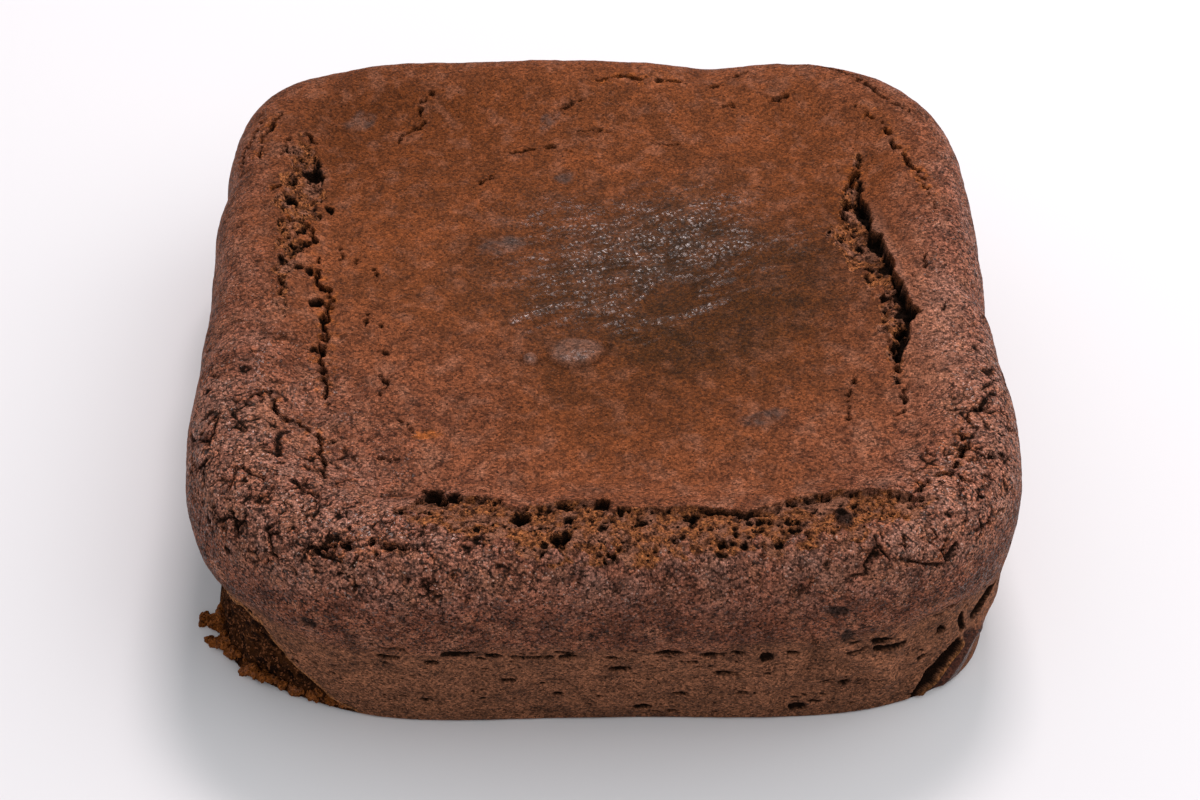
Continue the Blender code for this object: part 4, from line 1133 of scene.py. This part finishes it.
def crumbHeap():
    # Small rough balls stuck to each other: a ball's points move out by r * (1 + a * noise), less its
    # bubbles, and what would sink below the base is flattened on it
    draw = np.random.default_rng(footCrumbs["seed"])
    template = bpy.data.meshes.new("ball")
    shaper = bmesh.new()
    bmesh.ops.create_icosphere(shaper, subdivisions=4, radius=1.0)
    shaper.to_mesh(template)
    shaper.free()
    ball = np.array([vertex.co[:] for vertex in template.vertices])
    ballFaces = np.array([polygon.vertices[:] for polygon in template.polygons])
    bpy.data.meshes.remove(template)
    crumbs = []
    for number in range(footCrumbs["count"]):
        chosen = draw.choice(len(footCrumbs["heaps"]), p=[heap[2] for heap in footCrumbs["heaps"]])
        (degreesA, outA), (degreesB, outB), _ = footCrumbs["heaps"][chosen]
        way = draw.uniform(0.0, 1.0)
        direction = degreesA + (degreesB - degreesA) * way + draw.normal(0.0, 0.35)
        radius = draw.uniform(*footCrumbs["radius"]) * (1.0 - 0.45 * way * (chosen < 2))
        reach = planRadius(direction) - baseInset(direction) + outA + (outB - outA) * way
        reach += draw.normal(0.0, 0.5) - 0.6
        middle = np.array([reach * math.cos(math.radians(direction)) - planShift[0],
                           reach * math.sin(math.radians(direction)) - planShift[1],
                           radius * draw.uniform(0.3, 0.9) + draw.uniform(0.0, 2.0) * (chosen > 1)])
        around = ball * draw.uniform(0.75, 1.25, 3)
        at = middle + around * radius
        size = 1.0 + footCrumbs["roughness"] * swell(at, 0.9 * radius, 81) + 0.14 * swell(at, 0.45, 82)
        size -= 0.16 * porous(at, 83, ((1.2, 0.5), (0.8, 0.6)))
        crumbs.append(middle + around * radius * size[:, None])
    box = np.array(cadBox) / mm
    return (np.clip(np.concatenate(crumbs), box[0], box[1]),
            np.concatenate([ballFaces + number * len(ball) for number in range(len(crumbs))]))


crustMaterial = bakedCrust()
sheet = cakeSheet()
print("cake sheet:", len(sheet.place), "points")
rise, shares = reliefOf(sheet)
points = sheet.place + sheet.out * rise[:, None]
points[:, 2] = np.maximum(points[:, 2], 0.0)
points[sheet.lastRow, 2] = 0.0
normals = vertexNormals(points, np.concatenate([sheet.topFaces, sheet.sideFaces.reshape(-1, 4)]))
print("relief worked out")

n = cake["halfCount"]
pieces = []
for number, name in enumerate(("crust_front_left", "crust_front_right",
                               "crust_back_left", "crust_back_right")):
    chosen = (sheet.cellRow // n == number // 2) & (sheet.cellColumn // n == number % 2)
    pieces.append(cutOut(name, points, normals, shares, sheet.topFaces[chosen], crustMaterial))
for number, name in enumerate(("side_front", "side_right", "side_back", "side_left")):
    faces = sheet.sideFaces[:, number * 2 * n:(number + 1) * 2 * n].reshape(-1, 4)
    pieces.append(cutOut(name, points, normals, shares, faces, crustMaterial))
print("crust pieces:", len(pieces))


def plainShares(count):
    # no share of anything, and a tone of 1
    return {key: np.full(count, 1.0 if key == "tone" else 0.0) for key in shares}


rings, baseFaces = baseFace()
wallShare = plainShares(len(rings))
wallShare["wall"] += 1.0
nearFoot = smoothStep(np.hypot(rings[:, 0], rings[:, 1]), 78.0, 104.0)   # browned most near the foot
wallShare["tone"] = 1.0 + swells(rings, ((0.2, 24.0, 97), (0.16, 8.0, 98))) - 0.14 * nearFoot
wallShare["dust"] = smoothStep(swell(rings, 13.0, 99), 0.0, 0.5)
wallShare["bloomed"] = smoothStep(swell(rings, 6.0, 100), 0.0, 0.5)
pieces.append(addPiece("base", rings, baseFaces, None, wallShare, crustMaterial))
crumbPoints, crumbFaces = crumbHeap()
crumbShare = plainShares(len(crumbPoints))
crumbShare["torn"] += 1.0
crumbShare["loose"] = np.ones(len(crumbPoints))
pieces.append(addPiece("foot_crumbs", crumbPoints, crumbFaces, None, crumbShare, crustMaterial))
print("foot crumbs:", len(crumbFaces), "triangles")
for piece in pieces:
    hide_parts("cake")

# Stage, light and camera: a pale matt board takes a soft shadow
floorMesh = bpy.data.meshes.new("floor")
floorMesh.from_pydata([(-4, -4, 0), (4, -4, 0), (4, 4, 0), (-4, 4, 0)], [], [(0, 1, 2, 3)])
floor = bpy.data.objects.new("floor", floorMesh)
bpy.context.scene.collection.objects.link(floor)
paint = bpy.data.materials.new("paleMattBoard")
paint.use_nodes = True
matt = paint.node_tree.nodes["Principled BSDF"].inputs
matt["Base Color"].default_value = linear("#e0e0e2")
matt["Roughness"].default_value = 0.9
floorMesh.materials.append(paint)

studio = {
    "dome": 0.65, "domeColour": "#f6f7fa",
    # each lamp: place, what it looks at, size, power, colour
    "lamps": (((0.85, -0.15, 1.30), (0.0, 0.0, 0.05), (1.7, 1.5), 11.3, "#ffffff"),
              ((0.12, 0.60, 1.15), (0.0, 0.0, 0.05), (0.38, 0.28), 9.0, "#fff2f2")),
}
world = bpy.data.worlds.new("studio")
bpy.context.scene.world = world
world.use_nodes = True
dome = world.node_tree.nodes["Background"].inputs
dome[0].default_value, dome[1].default_value = linear(studio["domeColour"]), studio["dome"]
for number, (place, aim, size, power, colour) in enumerate(studio["lamps"]):
    lamp = bpy.data.lights.new(f"softbox{number}", "AREA")
    lamp.shape = "RECTANGLE"
    lamp.size, lamp.size_y = size
    lamp.energy = power
    lamp.color = linear(colour)[:3]
    holder = bpy.data.objects.new(lamp.name, lamp)
    holder.location = place
    holder.rotation_euler = (Vector(aim) - Vector(place)).to_track_quat("-Z", "Y").to_euler()
    bpy.context.scene.collection.objects.link(holder)

# degrees, metres and a lens in mm
view = {"target": (0.0, -0.0075, 0.025), "elevation": 44.0, "azimuth": -1.53, "roll": 0.62,
        "distance": 0.6628, "lens": 75.0}
el, az, roll = (math.radians(view[key]) for key in ("elevation", "azimuth", "roll"))
back = Vector((math.sin(az) * math.cos(el), -math.cos(az) * math.cos(el), math.sin(el)))
right = Vector((math.cos(az), math.sin(az), 0.0))
up = back.cross(right)
rightTurned = right * math.cos(roll) + up * math.sin(roll)
upTurned = up * math.cos(roll) - right * math.sin(roll)
camera = bpy.data.objects.new("camera", bpy.data.cameras.new("camera"))
camera.data.lens = view["lens"]
camera.data.sensor_width = 36.0
camera.data.clip_start = 0.02
camera.matrix_world = (Matrix.Translation(Vector(view["target"]) + back * view["distance"])
                       @ Matrix((rightTurned, upTurned, back)).transposed().to_4x4())
bpy.context.scene.collection.objects.link(camera)
bpy.context.scene.camera = camera
bpy.context.scene.view_settings.view_transform = "Standard"   # plain sRGB, so browns keep their colour
print("stage, light and camera ready")
